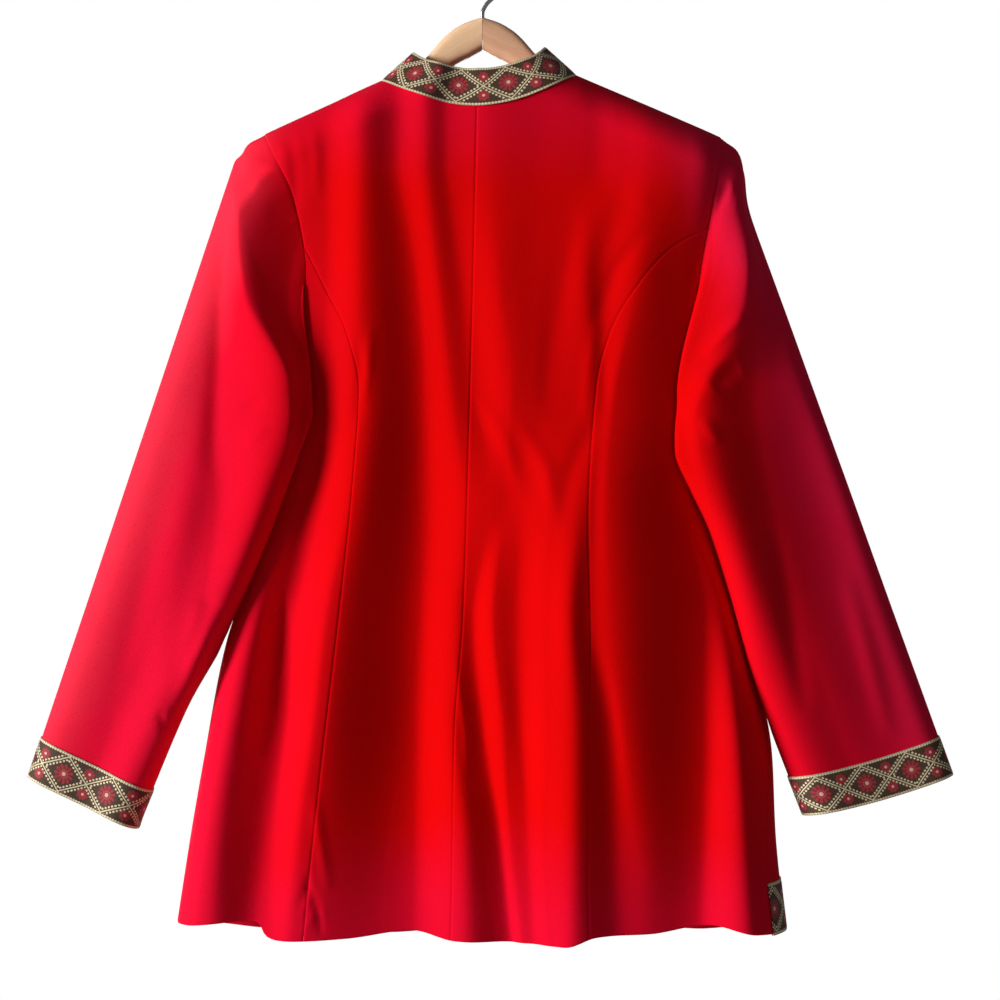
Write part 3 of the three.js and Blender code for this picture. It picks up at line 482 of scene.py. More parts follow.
def centre_front(hand, part):
    drop = lerp(FRONT_NECK_DROP, band_drop(1, 0), part)
    return place_of(SHOULDER[hand]["sign"] * CENTRE_FRONT + 0 * part, drop)


def princess_seam(hand, part):
    start = armhole(hand, -1, np.array(PRINCESS_PART[hand]))
    first = [float(start[1]), float(ring_x(start[0], start[1]))]
    drop = lerp(first[0], BAND_END, part)
    return place_of(read([first, *PRINCESS_SEAMS[hand]], drop), drop)


def side_seam(hand, face, part):
    sign = SHOULDER[hand]["sign"]
    drop = lerp(UNDERARM_DROP, band_drop(face, np.array(float(sign))), part)
    shift = read(SIDE_SHIFTS[hand], drop)
    return np.array([sign * (1 + face * shift), drop])


def joined(first, second, share):
    """Two lines end to end: the first takes this share of the whole."""
    return lambda t: np.where(
        t < share,
        first(np.clip(t / share, 0, 1)),
        second(np.clip((t - share) / (1 - share), 0, 1)),
    )


def band_line(face, start, end):
    """The line over the hem's trim between two places."""
    def line(s):
        around = lerp(start[0], end[0], s)
        straight = lerp(band_drop(face, start[0]), band_drop(face, end[0]), s)
        return np.array([around, lerp(start[1], end[1], s) + band_drop(face, around) - straight])
    return line


def neck_and_shoulder(hand, face):
    return joined(
        lambda s: neckline(hand, face, 1 - s), lambda s: shoulder_seam(hand, s), NECK_SHARE
    )


ONE = np.array(1.0)


def back_centre_lines(hand):
    princess = PRINCESS_PART[hand]
    return {
        "near": centre_back,
        "far": joined(
            lambda t: armhole(hand, -1, t * princess), lambda t: princess_seam(hand, t), YOKE_SHARE
        ),
        "top": neck_and_shoulder(hand, -1),
        "bottom": band_line(-1, centre_back(ONE), princess_seam(hand, ONE)),
    }


def back_side_lines(hand):
    princess = PRINCESS_PART[hand]
    return {
        "near": lambda t: princess_seam(hand, t),
        "far": lambda t: side_seam(hand, -1, t),
        "top": lambda s: armhole(hand, -1, lerp(princess, 1, s)),
        "bottom": band_line(-1, princess_seam(hand, ONE), side_seam(hand, -1, ONE)),
    }


def front_lines(hand):
    return {
        "near": lambda t: centre_front(hand, t),
        "far": joined(lambda t: armhole(hand, 1, t), lambda t: side_seam(hand, 1, t), SCYE_SHARE),
        "top": neck_and_shoulder(hand, 1),
        "bottom": band_line(1, centre_front(hand, ONE), side_seam(hand, 1, ONE)),
    }


def patch_place(lines, s, t):
    """The place at (s, t) in the patch between four lines, for arrays of the same shape."""
    near, far, top, bottom = (lines[k] for k in ("near", "far", "top", "bottom"))
    zero = np.array(0.0)
    return (
        (1 - s) * near(t)
        + s * far(t)
        + (1 - t) * top(s)
        + t * bottom(s)
        - (1 - s) * (1 - t) * corner(near(zero))
        - s * (1 - t) * corner(far(zero))
        - (1 - s) * t * corner(near(ONE))
        - s * t * corner(far(ONE))
    )


def corner(place):
    return np.asarray(place, float).reshape(2, 1, 1)


def reach(point_at, distance):
    """How far along each of several lines, as a share, this distance from its start is reached."""
    start = point_at(0.0)
    low = np.zeros(start.shape[:-1])
    high = low + 0.1
    for _ in range(18):
        middle = (low + high) / 2
        short = np.linalg.norm(point_at(middle) - start, axis=-1) < distance
        low, high = np.where(short, middle, low), np.where(short, high, middle)
    return high


EDGE_STEPS_MM = (0, 0.5, 1.1, 2.0, 3.4)  # where grid lines lie next to a panel's edge


def stops(count, length):
    """Even shares from 0 to 1 with closer ones next to both ends of a line of this length in mm."""
    edge = np.array(EDGE_STEPS_MM) / length
    inner = np.linspace(edge[-1], 1 - edge[-1], count)
    return np.concatenate([edge[:-1], inner, 1 - edge[:-1][::-1]])


class Grid:
    """The outer face of a piece of cloth: points and normals [row, column], in mm. Face is -1 on
    the back and 1 on the front of the body."""

    def __init__(self, points, normals, tube=False):
        self.points, self.normals, self.tube = points, normals, tube

    def rows(self, start):
        return Grid(self.points[start:], self.normals[start:], self.tube)

    def lengths(self, axis):
        """How far each point is along its row (axis 1) or column (axis 0)."""
        steps = np.linalg.norm(np.diff(self.points, axis=axis), axis=-1)
        pad = [(1, 0), (0, 0)] if axis == 0 else [(0, 0), (1, 0)]
        return np.pad(np.cumsum(steps, axis=axis), pad)


def panel_grid(face, lines, rows, columns, band_rows):
    half = SEAM_GAP / 2
    s, t = columns[None, :], rows[:, None]

    def point_at(s, t):
        s, t = np.broadcast_arrays(s, t)
        return torso_point(face, *patch_place(lines, s, t))

    upper = reach(lambda v: point_at(s, v + 0 * s), half)
    first = reach(lambda u: point_at(u + 0 * t, t), half)
    last = 1 - reach(lambda u: point_at(1 - u + 0 * t, t), half)
    around, drop = patch_place(lines, lerp(first, last, s), lerp(upper, 1, t))
    band = np.linspace(0, 1, band_rows + 1)[1:]
    band = np.concatenate([band[:-1], 1 - np.array(EDGE_STEPS_MM[:0:-1]) / HEM_TRIM_WIDTH, [1]])
    band = np.unique(band)[:, None]
    low_around = np.repeat(around[-1:], len(band), axis=0)
    low_drop = lerp(drop[-1:], hem_drop(face, around[-1:]), band)
    around = np.concatenate([around, low_around])
    drop = np.concatenate([drop, low_drop])
    grid = Grid(torso_point(face, around, drop), torso_normal(face, around, drop))
    grid.band = len(band) + 1
    return grid


# -------------------- sleeves
def tube_point(hand, along, turn):
    spec = SLEEVES[hand]
    sign = SHOULDER[hand]["sign"]
    sections = spec["sections"]
    width, outer, inner, thick = (read(sections, along, k) for k in (1, 2, 3, 4))
    lean = math.radians(spec["lean"])
    share = (1 - np.cos(np.radians(turn))) / 2
    back = fold_depth(SLEEVE_FOLD_STOPS, SLEEVE_BACK_FOLDS[hand], share * width, along)
    behind = lerp(outer, inner, share)
    far = np.where(turn < 180, back - behind, -thick) * rounded(2 * share - 1, SLEEVE_BOXINESS)
    across = width * share
    crown = spec["crown"] * np.exp(-(((along - CROWN_AT) / CROWN_SPREAD) ** 2)) * (1 - share)
    return np.stack([
        spec["x"] + sign * (math.sin(lean) * along - math.cos(lean) * across + crown),
        -behind - far,
        -spec["drop"] - math.cos(lean) * along - math.sin(lean) * across,
    ], axis=-1)


def clear_of_body(hand, point, clearance):
    """Moves points of the sleeve out, away from the side of the body."""
    sign = SHOULDER[hand]["sign"]
    x, y, drop = point[..., 0], point[..., 1], -point[..., 2]
    middle, half = ring(drop)
    depth = np.clip(np.abs(y) / body_depth(np.sign(y), x, drop), 0, 1)
    side = half * (1 - depth**2) ** (1 / read(ROUNDNESS, drop)) + clearance
    short = np.maximum(0, side - sign * (x - middle))
    moved = point.copy()
    moved[..., 0] += sign * short * smoothstep((drop - ARMPIT_TOP) / ARMPIT_BLEND)
    return moved


def armhole_start(hand, turn):
    on_back = turn <= UNDERARM_TURN
    part = np.where(on_back, turn / UNDERARM_TURN, (360 - turn) / (360 - UNDERARM_TURN))
    point, normal = np.zeros((*turn.shape, 3)), np.zeros((*turn.shape, 3))
    for face, chosen in ((-1, on_back), (1, ~on_back)):
        around, drop = armhole(hand, face, part)
        point = np.where(chosen[..., None], torso_point(face, around, drop), point)
        normal = np.where(chosen[..., None], torso_normal(face, around, drop), normal)
    lift = ARMPIT_LIFT * smoothstep((part - LIFT_FROM) / LIFT_BLEND)
    return point + normal * lift[..., None], normal


def sleeve_grid(hand, columns, rows, band_rows):
    spec, sign = SLEEVES[hand], SHOULDER[hand]["sign"]
    turn = np.linspace(0, 360, columns, endpoint=False)
    start, seam_normal = armhole_start(hand, turn)
    lean = math.radians(spec["lean"])
    out, down = (start[:, 0] - spec["x"]) * sign, -start[:, 2] - spec["drop"]
    begin = out * math.sin(lean) + down * math.cos(lean)
    apart = start - tube_point(hand, begin, turn)
    inner = (1 - np.cos(np.radians(turn))) / 2
    span = lerp(spec["cap"], CAP_INNER, inner)
    cuff = spec["end"] + spec["slant"] * inner ** spec["bend"]
    band_top = cuff - TRIM_WIDTH
    share = np.concatenate([[0, 0.002, 0.005], np.linspace(0.01, 1, rows) ** 1.15])[:, None]
    edge = 1 - np.array(EDGE_STEPS_MM[:0:-1]) / TRIM_WIDTH
    band = np.unique(np.concatenate([np.linspace(0, 1, band_rows + 1)[1:], edge]))[:, None]
    along = np.concatenate([
        lerp(begin + SEAM_GAP, band_top, share),
        lerp(band_top, cuff, band),
    ])
    turns = np.broadcast_to(turn, along.shape)
    past = np.clip((along - begin) / span, 0, 1)
    still = 1 - lerp(past, smoothstep(past) ** 0.8, inner)
    clearance = lerp(ARMPIT_LIFT, ARMPIT_CLEARANCE, np.clip((along - begin) / 20, 0, 1))
    tube = tube_point(hand, along, turns) + apart * still[..., None]
    points = clear_of_body(hand, tube, clearance)
    points = points + sleeve_ease(hand, along - begin, turns)
    on_back = smoothstep(2.5 * np.sin(np.radians(turns))) * smoothstep((along - begin) / 12)
    points[..., 1] -= on_back * creases("sleeve_" + hand, points[..., 0], -points[..., 2])
    across = np.roll(points, -1, axis=1) - np.roll(points, 1, axis=1)
    normals = unit(np.cross(across, np.gradient(points, axis=0)) * sign)
    normals[0] = seam_normal
    grid = Grid(points, normals, tube=True)
    grid.band = len(band) + 1
    return grid


def sleeve_ease(hand, past, turn):
    """The roll of the sleeve's head over its seam, with small puckers, as moves in mm."""
    sign = SHOULDER[hand]["sign"]
    head = smoothstep((HEAD_TURN - np.abs((turn + 180) % 360 - 180)) / HEAD_TURN_BLEND)
    roll = np.sin(math.pi * np.clip(past / HEAD_LENGTH, 0, 1)) ** 2
    pucker = 1 + PUCKER_SHARE * np.sin(np.radians(turn) * PUCKERS + 0.8)
    out = HEAD_ROLL * head * roll * pucker
    return np.stack([sign * out, 0 * out, 0.45 * out], axis=-1)


# -------------------- collar
def collar_grid(per_quarter, rows, base):
    """The collar from base mm above the neck seam to its top edge."""
    part = np.linspace(0, 1, per_quarter + 1)

    def quarter(hand, face):
        places = neckline(hand, face, 1 - part)
        turns = 90 * part if face > 0 else 180 - 90 * part
        return torso_point(face, *places), turns

    pieces = [
        [v[:-1] for v in quarter("right", 1)],
        [v[::-1][:-1] for v in quarter("right", -1)],
        [v[:-1] for v in quarter("left", -1)],
        [v[::-1] for v in quarter("left", 1)],
    ]
    point = np.concatenate([piece[0] for piece in pieces])
    turn = np.concatenate([piece[1] for piece in pieces])
    level = unit(point * np.array([1, 1.4, 0]))
    lean = np.radians(read(COLLAR_LEAN, turn))[:, None]
    up = np.array([0, 0, 1]) * np.cos(lean) - level * np.sin(lean)
    outward = level * np.cos(lean) + np.array([0, 0, 1]) * np.sin(lean)
    heights = lerp(base, COLLAR_HEIGHT, stops(rows, TRIM_WIDTH))
    points = point + up * heights[:, None, None]
    blend = smoothstep(heights / 12)[:, None, None]
    normals = unit(lerp(level, outward, blend))
    return Grid(points, normals)


# -------------------- meshes
def solid(name, vertices, faces, uv=None, angle=38):
    """A closed mesh in metres from points in mm, smooth but for edges sharper than this angle. uv
    gives each vertex its place in the cloth."""
    mesh = bpy.data.meshes.new(name)
    mesh.from_pydata((np.asarray(vertices) * MM).tolist(), [], faces)
    form = bmesh.new()
    form.from_mesh(mesh)
    if form.calc_volume(signed=True) < 0:
        bmesh.ops.reverse_faces(form, faces=form.faces[:])
    for edge in form.edges:
        edge.smooth = edge.calc_face_angle(0) < math.radians(angle)
    for face in form.faces:
        face.smooth = True
    if uv is not None:
        layer = form.loops.layers.uv.new("cloth")
        for face in form.faces:
            for loop in face.loops:
                loop[layer].uv = uv[loop.vert.index]
    form.to_mesh(mesh)
    form.free()
    thing = bpy.data.objects.new(name, mesh)
    bpy.context.collection.objects.link(thing)
    return thing


def quads(a, b, c, d):
    return np.stack([a, b, c, d], axis=-1).reshape(-1, 4)


def cloth(name, grid, thick, lift, roll, uv_across=None):
    """The wall of a grid: its outer face is lifted by lift, and its edges roll in by about roll."""
    points, normals, tube = grid.points, grid.normals, grid.tube
    rows, columns = points.shape[:2]
    across, down = grid.lengths(1), grid.lengths(0)
    from_edge = np.minimum(down, down[-1:] - down)
    if not tube:
        from_edge = np.minimum(from_edge, np.minimum(across, across[:, -1:] - across))
    rolled = roll * np.exp(-((from_edge / ROLL_WIDTH) ** 2))
    outer = points + normals * (lift - rolled)[..., None]
    inner = points + normals * (lift - thick + 0.4 * rolled)[..., None]
    vertices = np.concatenate([outer.reshape(-1, 3), inner.reshape(-1, 3)])
    index = np.arange(rows * columns).reshape(rows, columns)
    if tube:
        index = np.concatenate([index, index[:, :1]], axis=1)
    back = index + rows * columns

    faces = [
        quads(index[:-1, :-1], index[1:, :-1], index[1:, 1:], index[:-1, 1:]),
        quads(back[:-1, :-1], back[:-1, 1:], back[1:, 1:], back[1:, :-1]),
        quads(index[0, :-1], index[0, 1:], back[0, 1:], back[0, :-1]),
        quads(index[-1, 1:], index[-1, :-1], back[-1, :-1], back[-1, 1:]),
    ]
    if not tube:
        faces.append(quads(index[1:, 0], index[:-1, 0], back[:-1, 0], back[1:, 0]))
        faces.append(quads(index[:-1, -1], index[1:, -1], back[1:, -1], back[:-1, -1]))
    if uv_across is None:
        u, v = across * MM, down * MM
    else:
        u, v = uv_across
    uv = np.stack([u, v], axis=-1).reshape(-1, 2)
    return solid(name, vertices, np.concatenate(faces).tolist(), np.concatenate([uv, uv]).tolist())


# -------------------- materials
class Maker:
    """Makes the nodes of one material."""

    def __init__(self, name, **sockets):
        self.material = bpy.data.materials.new(name)
        self.material.use_nodes = True
        self.tree = self.material.node_tree
        self.shader = self.tree.nodes["Principled BSDF"]
        for key, value in sockets.items():
            self.shader.inputs[key.replace("_", " ")].default_value = value

    def node(self, kind, inputs=(), **settings):
        node = self.tree.nodes.new(kind)
        for key, value in settings.items():
            setattr(node, key, value)
        for key, value in dict(inputs).items():
            self.feed(node.inputs[key], value)
        return node

    def feed(self, socket, value):
        if isinstance(value, Value):
            value = value.socket
        if isinstance(value, bpy.types.NodeSocket):
            self.tree.links.new(value, socket)
        else:
            socket.default_value = value

    def value(self, kind, output, inputs=(), **settings):
        return Value(self, self.node(kind, inputs, **settings).outputs[output])

    def mix(self, factor, first, second):
        node = self.node("ShaderNodeMix", data_type="RGBA")
        self.feed(node.inputs[0], factor)
        self.feed(node.inputs[6], first)
        self.feed(node.inputs[7], second)
        return node.outputs[2]

    def colour(self, socket):
        self.feed(self.shader.inputs["Base Color"], socket)

    def bump(self, height, distance, strength):
        inputs = {"Height": height, "Distance": distance, "Strength": strength}
        self.feed(self.shader.inputs["Normal"], self.node("ShaderNodeBump", inputs).outputs[0])

    def noise(self, place, scale, detail, rough=0.5):
        inputs = {"Vector": place, "Scale": scale, "Detail": detail, "Roughness": rough}
        return self.value("ShaderNodeTexNoise", "Fac", inputs)

    def uv(self):
        node = self.node("ShaderNodeUVMap", uv_map="cloth")
        parts = self.node("ShaderNodeSeparateXYZ", {"Vector": node.outputs[0]})
        return Value(self, parts.outputs[0]), Value(self, parts.outputs[1])

    def position(self):
        node = self.node("ShaderNodeTexCoord")
        parts = self.node("ShaderNodeSeparateXYZ", {"Vector": node.outputs["Object"]})
        return node.outputs["Object"], [Value(self, parts.outputs[k]) for k in range(3)]


class Value:
    """A number in a material's nodes, with arithmetic."""

    def __init__(self, maker, socket):
        self.maker, self.socket = maker, socket

    def do(self, operation, *others):
        node = self.maker.tree.nodes.new("ShaderNodeMath")
        node.operation = operation
        for socket, value in zip(node.inputs, (self, *others)):
            self.maker.feed(socket, value)
        return Value(self.maker, node.outputs[0])

    def step(self, low, high):
        """0 below low and 1 above high, or the other way round if low is above high."""
        node = self.maker.tree.nodes.new("ShaderNodeMapRange")
        node.interpolation_type = "SMOOTHSTEP"
        up = low < high
        for key, value in zip(range(5), (self, min(low, high), max(low, high), 1 - up, up)):
            self.maker.feed(node.inputs[key], value)
        return Value(self.maker, node.outputs[0])

    def wrap(self, period):
        """The distance to the nearest whole period, from -period / 2 to period / 2."""
        return self.do("WRAP", period / 2, -period / 2)


for method, operation in {
    "__add__": "ADD", "__sub__": "SUBTRACT", "__mul__": "MULTIPLY", "__truediv__": "DIVIDE",
    "__pow__": "POWER", "abs": "ABSOLUTE", "sin": "SINE", "angle": "ARCTAN2",
    "either": "MAXIMUM", "both": "MINIMUM",
}.items():
    setattr(Value, method, lambda self, *others, kind=operation: self.do(kind, *others))


def linear(red, green, blue):
    """A colour in linear light, for a node's socket."""
    return (red, green, blue, 1)


TWILL = 0.00062  # from one twill rib to the next, m
TWILL_LEAN = 0.62

# The red is purest in the middle of the jacket. Painted light: towards its outline it is painted
# bluer and paler, a glow of the backdrop's light.
CORE_RED, BACKDROP_GLOW_RED = linear(0.70, 0.0003, 0.0004), linear(0.74, 0.0022, 0.024)
# Painted key light: the left sleeve, lit by the lamp from the left, is painted a brighter, pinker
# red
LEFT_SLEEVE_LIT_RED = linear(0.92, 0.006, 0.04)
# Painted rim glow along the outer edge of each sleeve
LEFT_EDGE_GLOW_RED, RIGHT_EDGE_GLOW_RED = linear(0.96, 0.03, 0.065), linear(0.72, 0.008, 0.05)
BLOTCH_RED, FLECK_RED = linear(0.50, 0.001, 0.006), linear(0.42, 0.0008, 0.004)


def from_outer_edge(hand, x, z):
    """How far in from the sleeve's outer edge a place of the material is, m."""
    spec, sign = SLEEVES[hand], SHOULDER[hand]["sign"]
    sin, cos = math.sin(math.radians(spec["lean"])), math.cos(math.radians(spec["lean"]))
    return x * (-sign * cos) - z * sin + (sign * cos * spec["x"] - sin * spec["drop"]) * MM


def red_cloth():
    make = Maker(
        "red_cloth",
        Roughness=0.85,
        Specular_IOR_Level=0.03,
        Sheen_Weight=0.02,
        Sheen_Roughness=0.4,
        Sheen_Tint=linear(1, 0.45, 0.5),
    )
    place, (x, y, z) = make.position()
    noise = make.noise(place, 9.0, 3.0)
    fine = make.noise(place, 900.0, 2.0)
    mottle = (noise - 0.5) * 0.05
    # Painted light: to the sides and up and down from the middle the red is painted paler and
    # bluer, a glow of the backdrop's light
    glow_sideways = ((x - 0.035).abs() + mottle).step(0.135, 0.31)
    glow_upright = ((z + 0.5).abs() + mottle).step(0.27, 0.385)
    shade = make.mix(glow_sideways.either(glow_upright), CORE_RED, BACKDROP_GLOW_RED)
    # Painted key light: the left sleeve is painted brighter where the lamp from the left falls on
    # it
    shade = make.mix((x * -1.0).step(0.19, 0.31), shade, LEFT_SLEEVE_LIT_RED)
    # Painted rim glow: a strip along each sleeve's outer edge is painted paler and bluer
    left_edge_glow = (from_outer_edge("left", x, z) + mottle).step(0.055, 0.0)
    right_edge_glow = (from_outer_edge("right", x, z) + mottle).step(0.08, 0.0)
    shade = make.mix(left_edge_glow, shade, LEFT_EDGE_GLOW_RED)
    shade = make.mix(right_edge_glow, shade, RIGHT_EDGE_GLOW_RED)
    shade = make.mix((noise - 0.5).abs() * 0.35, shade, BLOTCH_RED)
    shade = make.mix((fine - 0.42).step(0.0, 0.3) * 0.22, shade, FLECK_RED)
    make.colour(shade)
    u, v = make.uv()
    twill = ((u + v * TWILL_LEAN) * (2 * math.pi / TWILL)).sin() * 0.5 + 0.5
    slub = make.noise(place, 2200.0, 2.0)
    make.bump(twill * 0.7 + slub * 0.6, 0.00012, 0.5)
    return make.material


# The ribbon's pattern, mm
REPEAT = 44.5
LATTICE_LINE, LATTICE_TALL = 0.75, 0.86  # half the line's width, and the share of the half ribbon
BEAD_FROM_LINE, BEAD_APART, BEAD_WIDE, BEAD_LONG = 2.3, 3.3, 0.95, 1.1
FLOWER_RADIUS, FLOWER_PETALS = 8.6, 11.0
BUD_RADIUS, BUD_PETALS = 5.2, 8.0
ROPE_TURN = 2.6
THREAD, WEFT = 0.75, 0.5

WARP_DARK, WARP_BROWN = linear(0.055, 0.028, 0.018), linear(0.16, 0.085, 0.045)
STEM_GREEN = linear(0.15, 0.14, 0.06)
PETAL_RED, NOTCH_RED = linear(0.42, 0.035, 0.045), linear(0.16, 0.016, 0.02)
RING_PINK, HEART_PINK = linear(0.50, 0.12, 0.11), linear(0.90, 0.50, 0.42)
GOLD, WEFT_DARK = linear(0.92, 0.78, 0.50), linear(0.03, 0.016, 0.01)


def woven_trim(width):
    """Ribbon with roped edges, a lattice of beaded lines, round flowers in it and buds between
    them. u runs along it in metres, and v from -1 to 1 across it. width is in mm."""
    make = Maker("woven_trim", Roughness=0.6, Specular_IOR_Level=0.3)
    u, v = make.uv()
    half, half_repeat = width / 2, REPEAT / 2
    along = u * 1000.0
    across = v * half
    cell = along.wrap(REPEAT)
    other = (along + half_repeat).wrap(REPEAT)
    up = across.abs()

    tall = half * LATTICE_TALL
    slant = math.hypot(half_repeat, tall)
    to_line = (cell.abs() / half_repeat + up / tall - 1.0) * (half_repeat * tall / slant)
    line = to_line.abs().step(LATTICE_LINE, 0.4)
    along_line = (cell.abs() * half_repeat - up * tall) / slant
    bead = (to_line.abs() - BEAD_FROM_LINE).abs() / BEAD_WIDE
    beads = (bead ** 2.0 + (along_line.wrap(BEAD_APART) / BEAD_LONG) ** 2.0).step(1.25, 0.75)
    beads = beads.both(up.step(half * 0.84, half * 0.82))

    radius = (cell ** 2.0 + across ** 2.0) ** 0.5
    wave = (across.angle(cell) * FLOWER_PETALS).sin()
    bloom = (radius - wave * 0.8).step(FLOWER_RADIUS, 8.0)
    ring = ((radius - 3.6).abs()).step(0.7, 0.3) * 0.5
    heart = radius.step(2.1, 1.6)
    notch = wave.step(-0.35, -0.8).both(radius.step(3.6, 4.4))

    above = up - half * 0.5
    small = (other ** 2.0 + above ** 2.0) ** 0.5
    bud_wave = (above.angle(other) * BUD_PETALS).sin()
    bud = (small - bud_wave * 0.5).step(BUD_RADIUS, 4.7)
    bud_heart = small.step(1.5, 1.1)
    stem = other.abs().step(0.9, 0.5).both(up.step(3.0, 2.6))

    rope = ((along + up * 0.9) * (2 * math.pi / ROPE_TURN)).sin()
    edge = (up + rope * 0.45 - half * 0.925).abs().step(1.0, 0.6)
    border = up.step(half * 0.965, half * 0.975) * 0.6

    gold = line.either(beads).either(edge).either(border)
    flowers = bloom.either(bud)
    thread = (along * (2 * math.pi / THREAD)).sin() * 0.5 + 0.5
    weft = (across * (2 * math.pi / WEFT)).sin() * 0.5 + 0.5
    shade = make.mix(thread * 0.5, WARP_DARK, WARP_BROWN)
    shade = make.mix(stem, shade, STEM_GREEN)
    shade = make.mix(flowers, shade, PETAL_RED)
    shade = make.mix(notch.both(bloom), shade, NOTCH_RED)
    shade = make.mix(ring, shade, RING_PINK)
    shade = make.mix(heart.either(bud_heart), shade, HEART_PINK)
    shade = make.mix(gold, shade, GOLD)
    shade = make.mix(weft * 0.18, shade, WEFT_DARK)
    make.colour(shade)
    make.feed(make.shader.inputs["Metallic"], gold * 0.15)
    raised = gold * 0.8 + flowers * 0.5 + heart * 0.3
    make.bump(raised + thread * 0.25 + weft * 0.2, 0.00035, 0.7)
    return make.material


# The light and the dark of each arm's wood
WOOD = {
    "left": (linear(0.98, 0.66, 0.40), linear(0.95, 0.58, 0.33)),
    "right": (linear(0.86, 0.50, 0.31), linear(0.78, 0.42, 0.24)),
}
PORE_BROWN = linear(0.25, 0.13, 0.06)
GRAIN_LEAN = 0.5  # how far the grain slopes down along an arm, radians
GRAIN_ACROSS = 90.0
GRAIN_ALONG = 6.0


def hanger_wood(hand):
    light, dark = WOOD[hand]
    make = Maker("hanger_wood_" + hand, Roughness=0.42, Coat_Weight=0.25, Coat_Roughness=0.3)
    place, (x, y, z) = make.position()
    sign = SHOULDER[hand]["sign"]
    along = x * (sign * math.cos(GRAIN_LEAN)) - z * math.sin(GRAIN_LEAN)
    over = x * (sign * math.sin(GRAIN_LEAN)) + z * math.cos(GRAIN_LEAN)
    bent = make.noise(place, 22.0, 2.0) - 0.5
    vector = make.node("ShaderNodeCombineXYZ", {
        "X": along * GRAIN_ALONG,
        "Y": (y + bent * 0.004) * GRAIN_ACROSS,
        "Z": (over + bent * 0.01) * GRAIN_ACROSS,
    }).outputs[0]
    grain = make.noise(vector, 4.0, 6.0, 0.6)
    shade = make.mix(grain.step(0.3, 0.72), dark, light)
    pores = make.noise(vector, 26.0, 2.0)
    shade = make.mix(pores.step(0.62, 0.75) * 0.35, shade, PORE_BROWN)
    make.colour(shade)
    make.bump(grain * 0.6 + pores * 0.3, 0.0002, 0.35)
    return make.material


def hook_steel():
    make = Maker("hook_steel", Metallic=1.0, Roughness=0.2)
    stain = make.noise(make.position()[0], 130.0, 3.0)
    make.colour(make.mix(stain, linear(0.55, 0.55, 0.57), linear(0.75, 0.75, 0.76)))
    make.feed(make.shader.inputs["Roughness"], stain * 0.15 + 0.16)
    return make.material


def floor_paper():
    make = Maker("floor_paper", Roughness=0.9)
    noise = make.noise(make.position()[0], 3.0, 2.0)
    make.colour(make.mix(noise, linear(0.9, 0.9, 0.9), linear(0.873, 0.873, 0.873)))
    # The lamps only graze the floor, so it is seen a little brighter than they light it.
    seen = make.value("ShaderNodeLightPath", "Is Camera Ray")
    make.feed(make.shader.inputs["Emission Strength"], seen * 0.55)
    return make.material


# -------------------- pieces
RED = red_cloth()
TRIM_LOOK = woven_trim(TRIM_WIDTH)
HEM_TRIM_LOOK = woven_trim(HEM_TRIM_WIDTH)

# Rows, columns, rows over the hem's trim, and the length and width in mm that they cover
PANEL_GRIDS = {
    "back_centre": (170, 64, 8, 700, 105),
    "back_side": (150, 52, 8, 500, 90),
    "front": (170, 76, 10, 700, 240),
}
SLEEVE_COLUMNS, SLEEVE_ROWS, CUFF_ROWS = 176, 170, 10
COLLAR_COLUMNS, COLLAR_ROWS = 44, 14  # columns in a quarter of the way round
CLOTH_ROLL, TRIM_ROLL = 0.55, 0.3  # how far the edges roll in


def finish_piece(piece, node, look):
    piece.data.materials.append(look)
    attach(piece, "root")
    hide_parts(node)


def add_cloth(node, grid, thick=CLOTH):
    piece = cloth(f"{node}_cloth", grid, thick, 0, CLOTH_ROLL)
    finish_piece(piece, node, RED)


def add_trim(node, grid, look):
    """A ribbon that lies on the outer face of a grid."""
    piece = cloth(f"{node}_weave", grid, TRIM, TRIM_LIFT + TRIM, TRIM_ROLL, trim_uv(grid))
    finish_piece(piece, node, look)


def trim_uv(grid):
    """u along the ribbon in metres, from its middle row, and v across it from -1 to 1."""
    rows = grid.points.shape[0]
    down = grid.lengths(0)
    v = 2 * down / down[-1:] - 1
    middle = Grid(grid.points[rows // 2:rows // 2 + 1], grid.normals[:1]).lengths(1)
    return np.repeat(middle, rows, axis=0) * MM, v


def panel(face, kind, lines):
    rows, columns, band_rows, length, width = PANEL_GRIDS[kind]
    return panel_grid(face, lines, stops(rows, length), stops(columns, width), band_rows)


for hand in ("left", "right"):
    arm, centre = f"hanger_arm_{hand}", f"back_centre_{hand}"
    add_cloth(centre, panel(-1, "back_centre", back_centre_lines(hand)))
    add_cloth(f"back_side_{hand}", panel(-1, "back_side", back_side_lines(hand)))
    front = panel(1, "front", front_lines(hand))
    add_cloth(f"front_{hand}", front)
    add_trim(f"hem_ribbon_{hand}", front.rows(-front.band), HEM_TRIM_LOOK)
    sleeve = sleeve_grid(hand, SLEEVE_COLUMNS, SLEEVE_ROWS, CUFF_ROWS)
    add_cloth(f"sleeve_{hand}", sleeve)
    add_trim(f"cuff_ribbon_{hand}", sleeve.rows(-sleeve.band), TRIM_LOOK)

collar = collar_grid(COLLAR_COLUMNS, COLLAR_ROWS, COLLAR_BASE)
add_cloth("stand_collar", collar, BAND)
collar = collar_grid(COLLAR_COLUMNS, COLLAR_ROWS, -TRIM_OVERLAP)
add_trim("collar_ribbon", collar, TRIM_LOOK)


# -------------------- hanger
def rod(name, rings):
    """A closed form through rings [row, place round it] of points in mm."""
    rows, sides = rings.shape[:2]
    index = np.arange(rows * sides).reshape(rows, sides)
    ahead = np.roll(index, -1, axis=1)
    faces = quads(index[:-1], index[1:], ahead[1:], ahead[:-1]).tolist()
    faces += [index[0].tolist(), index[-1][::-1].tolist()]
    return solid(name, rings.reshape(-1, 3), faces)


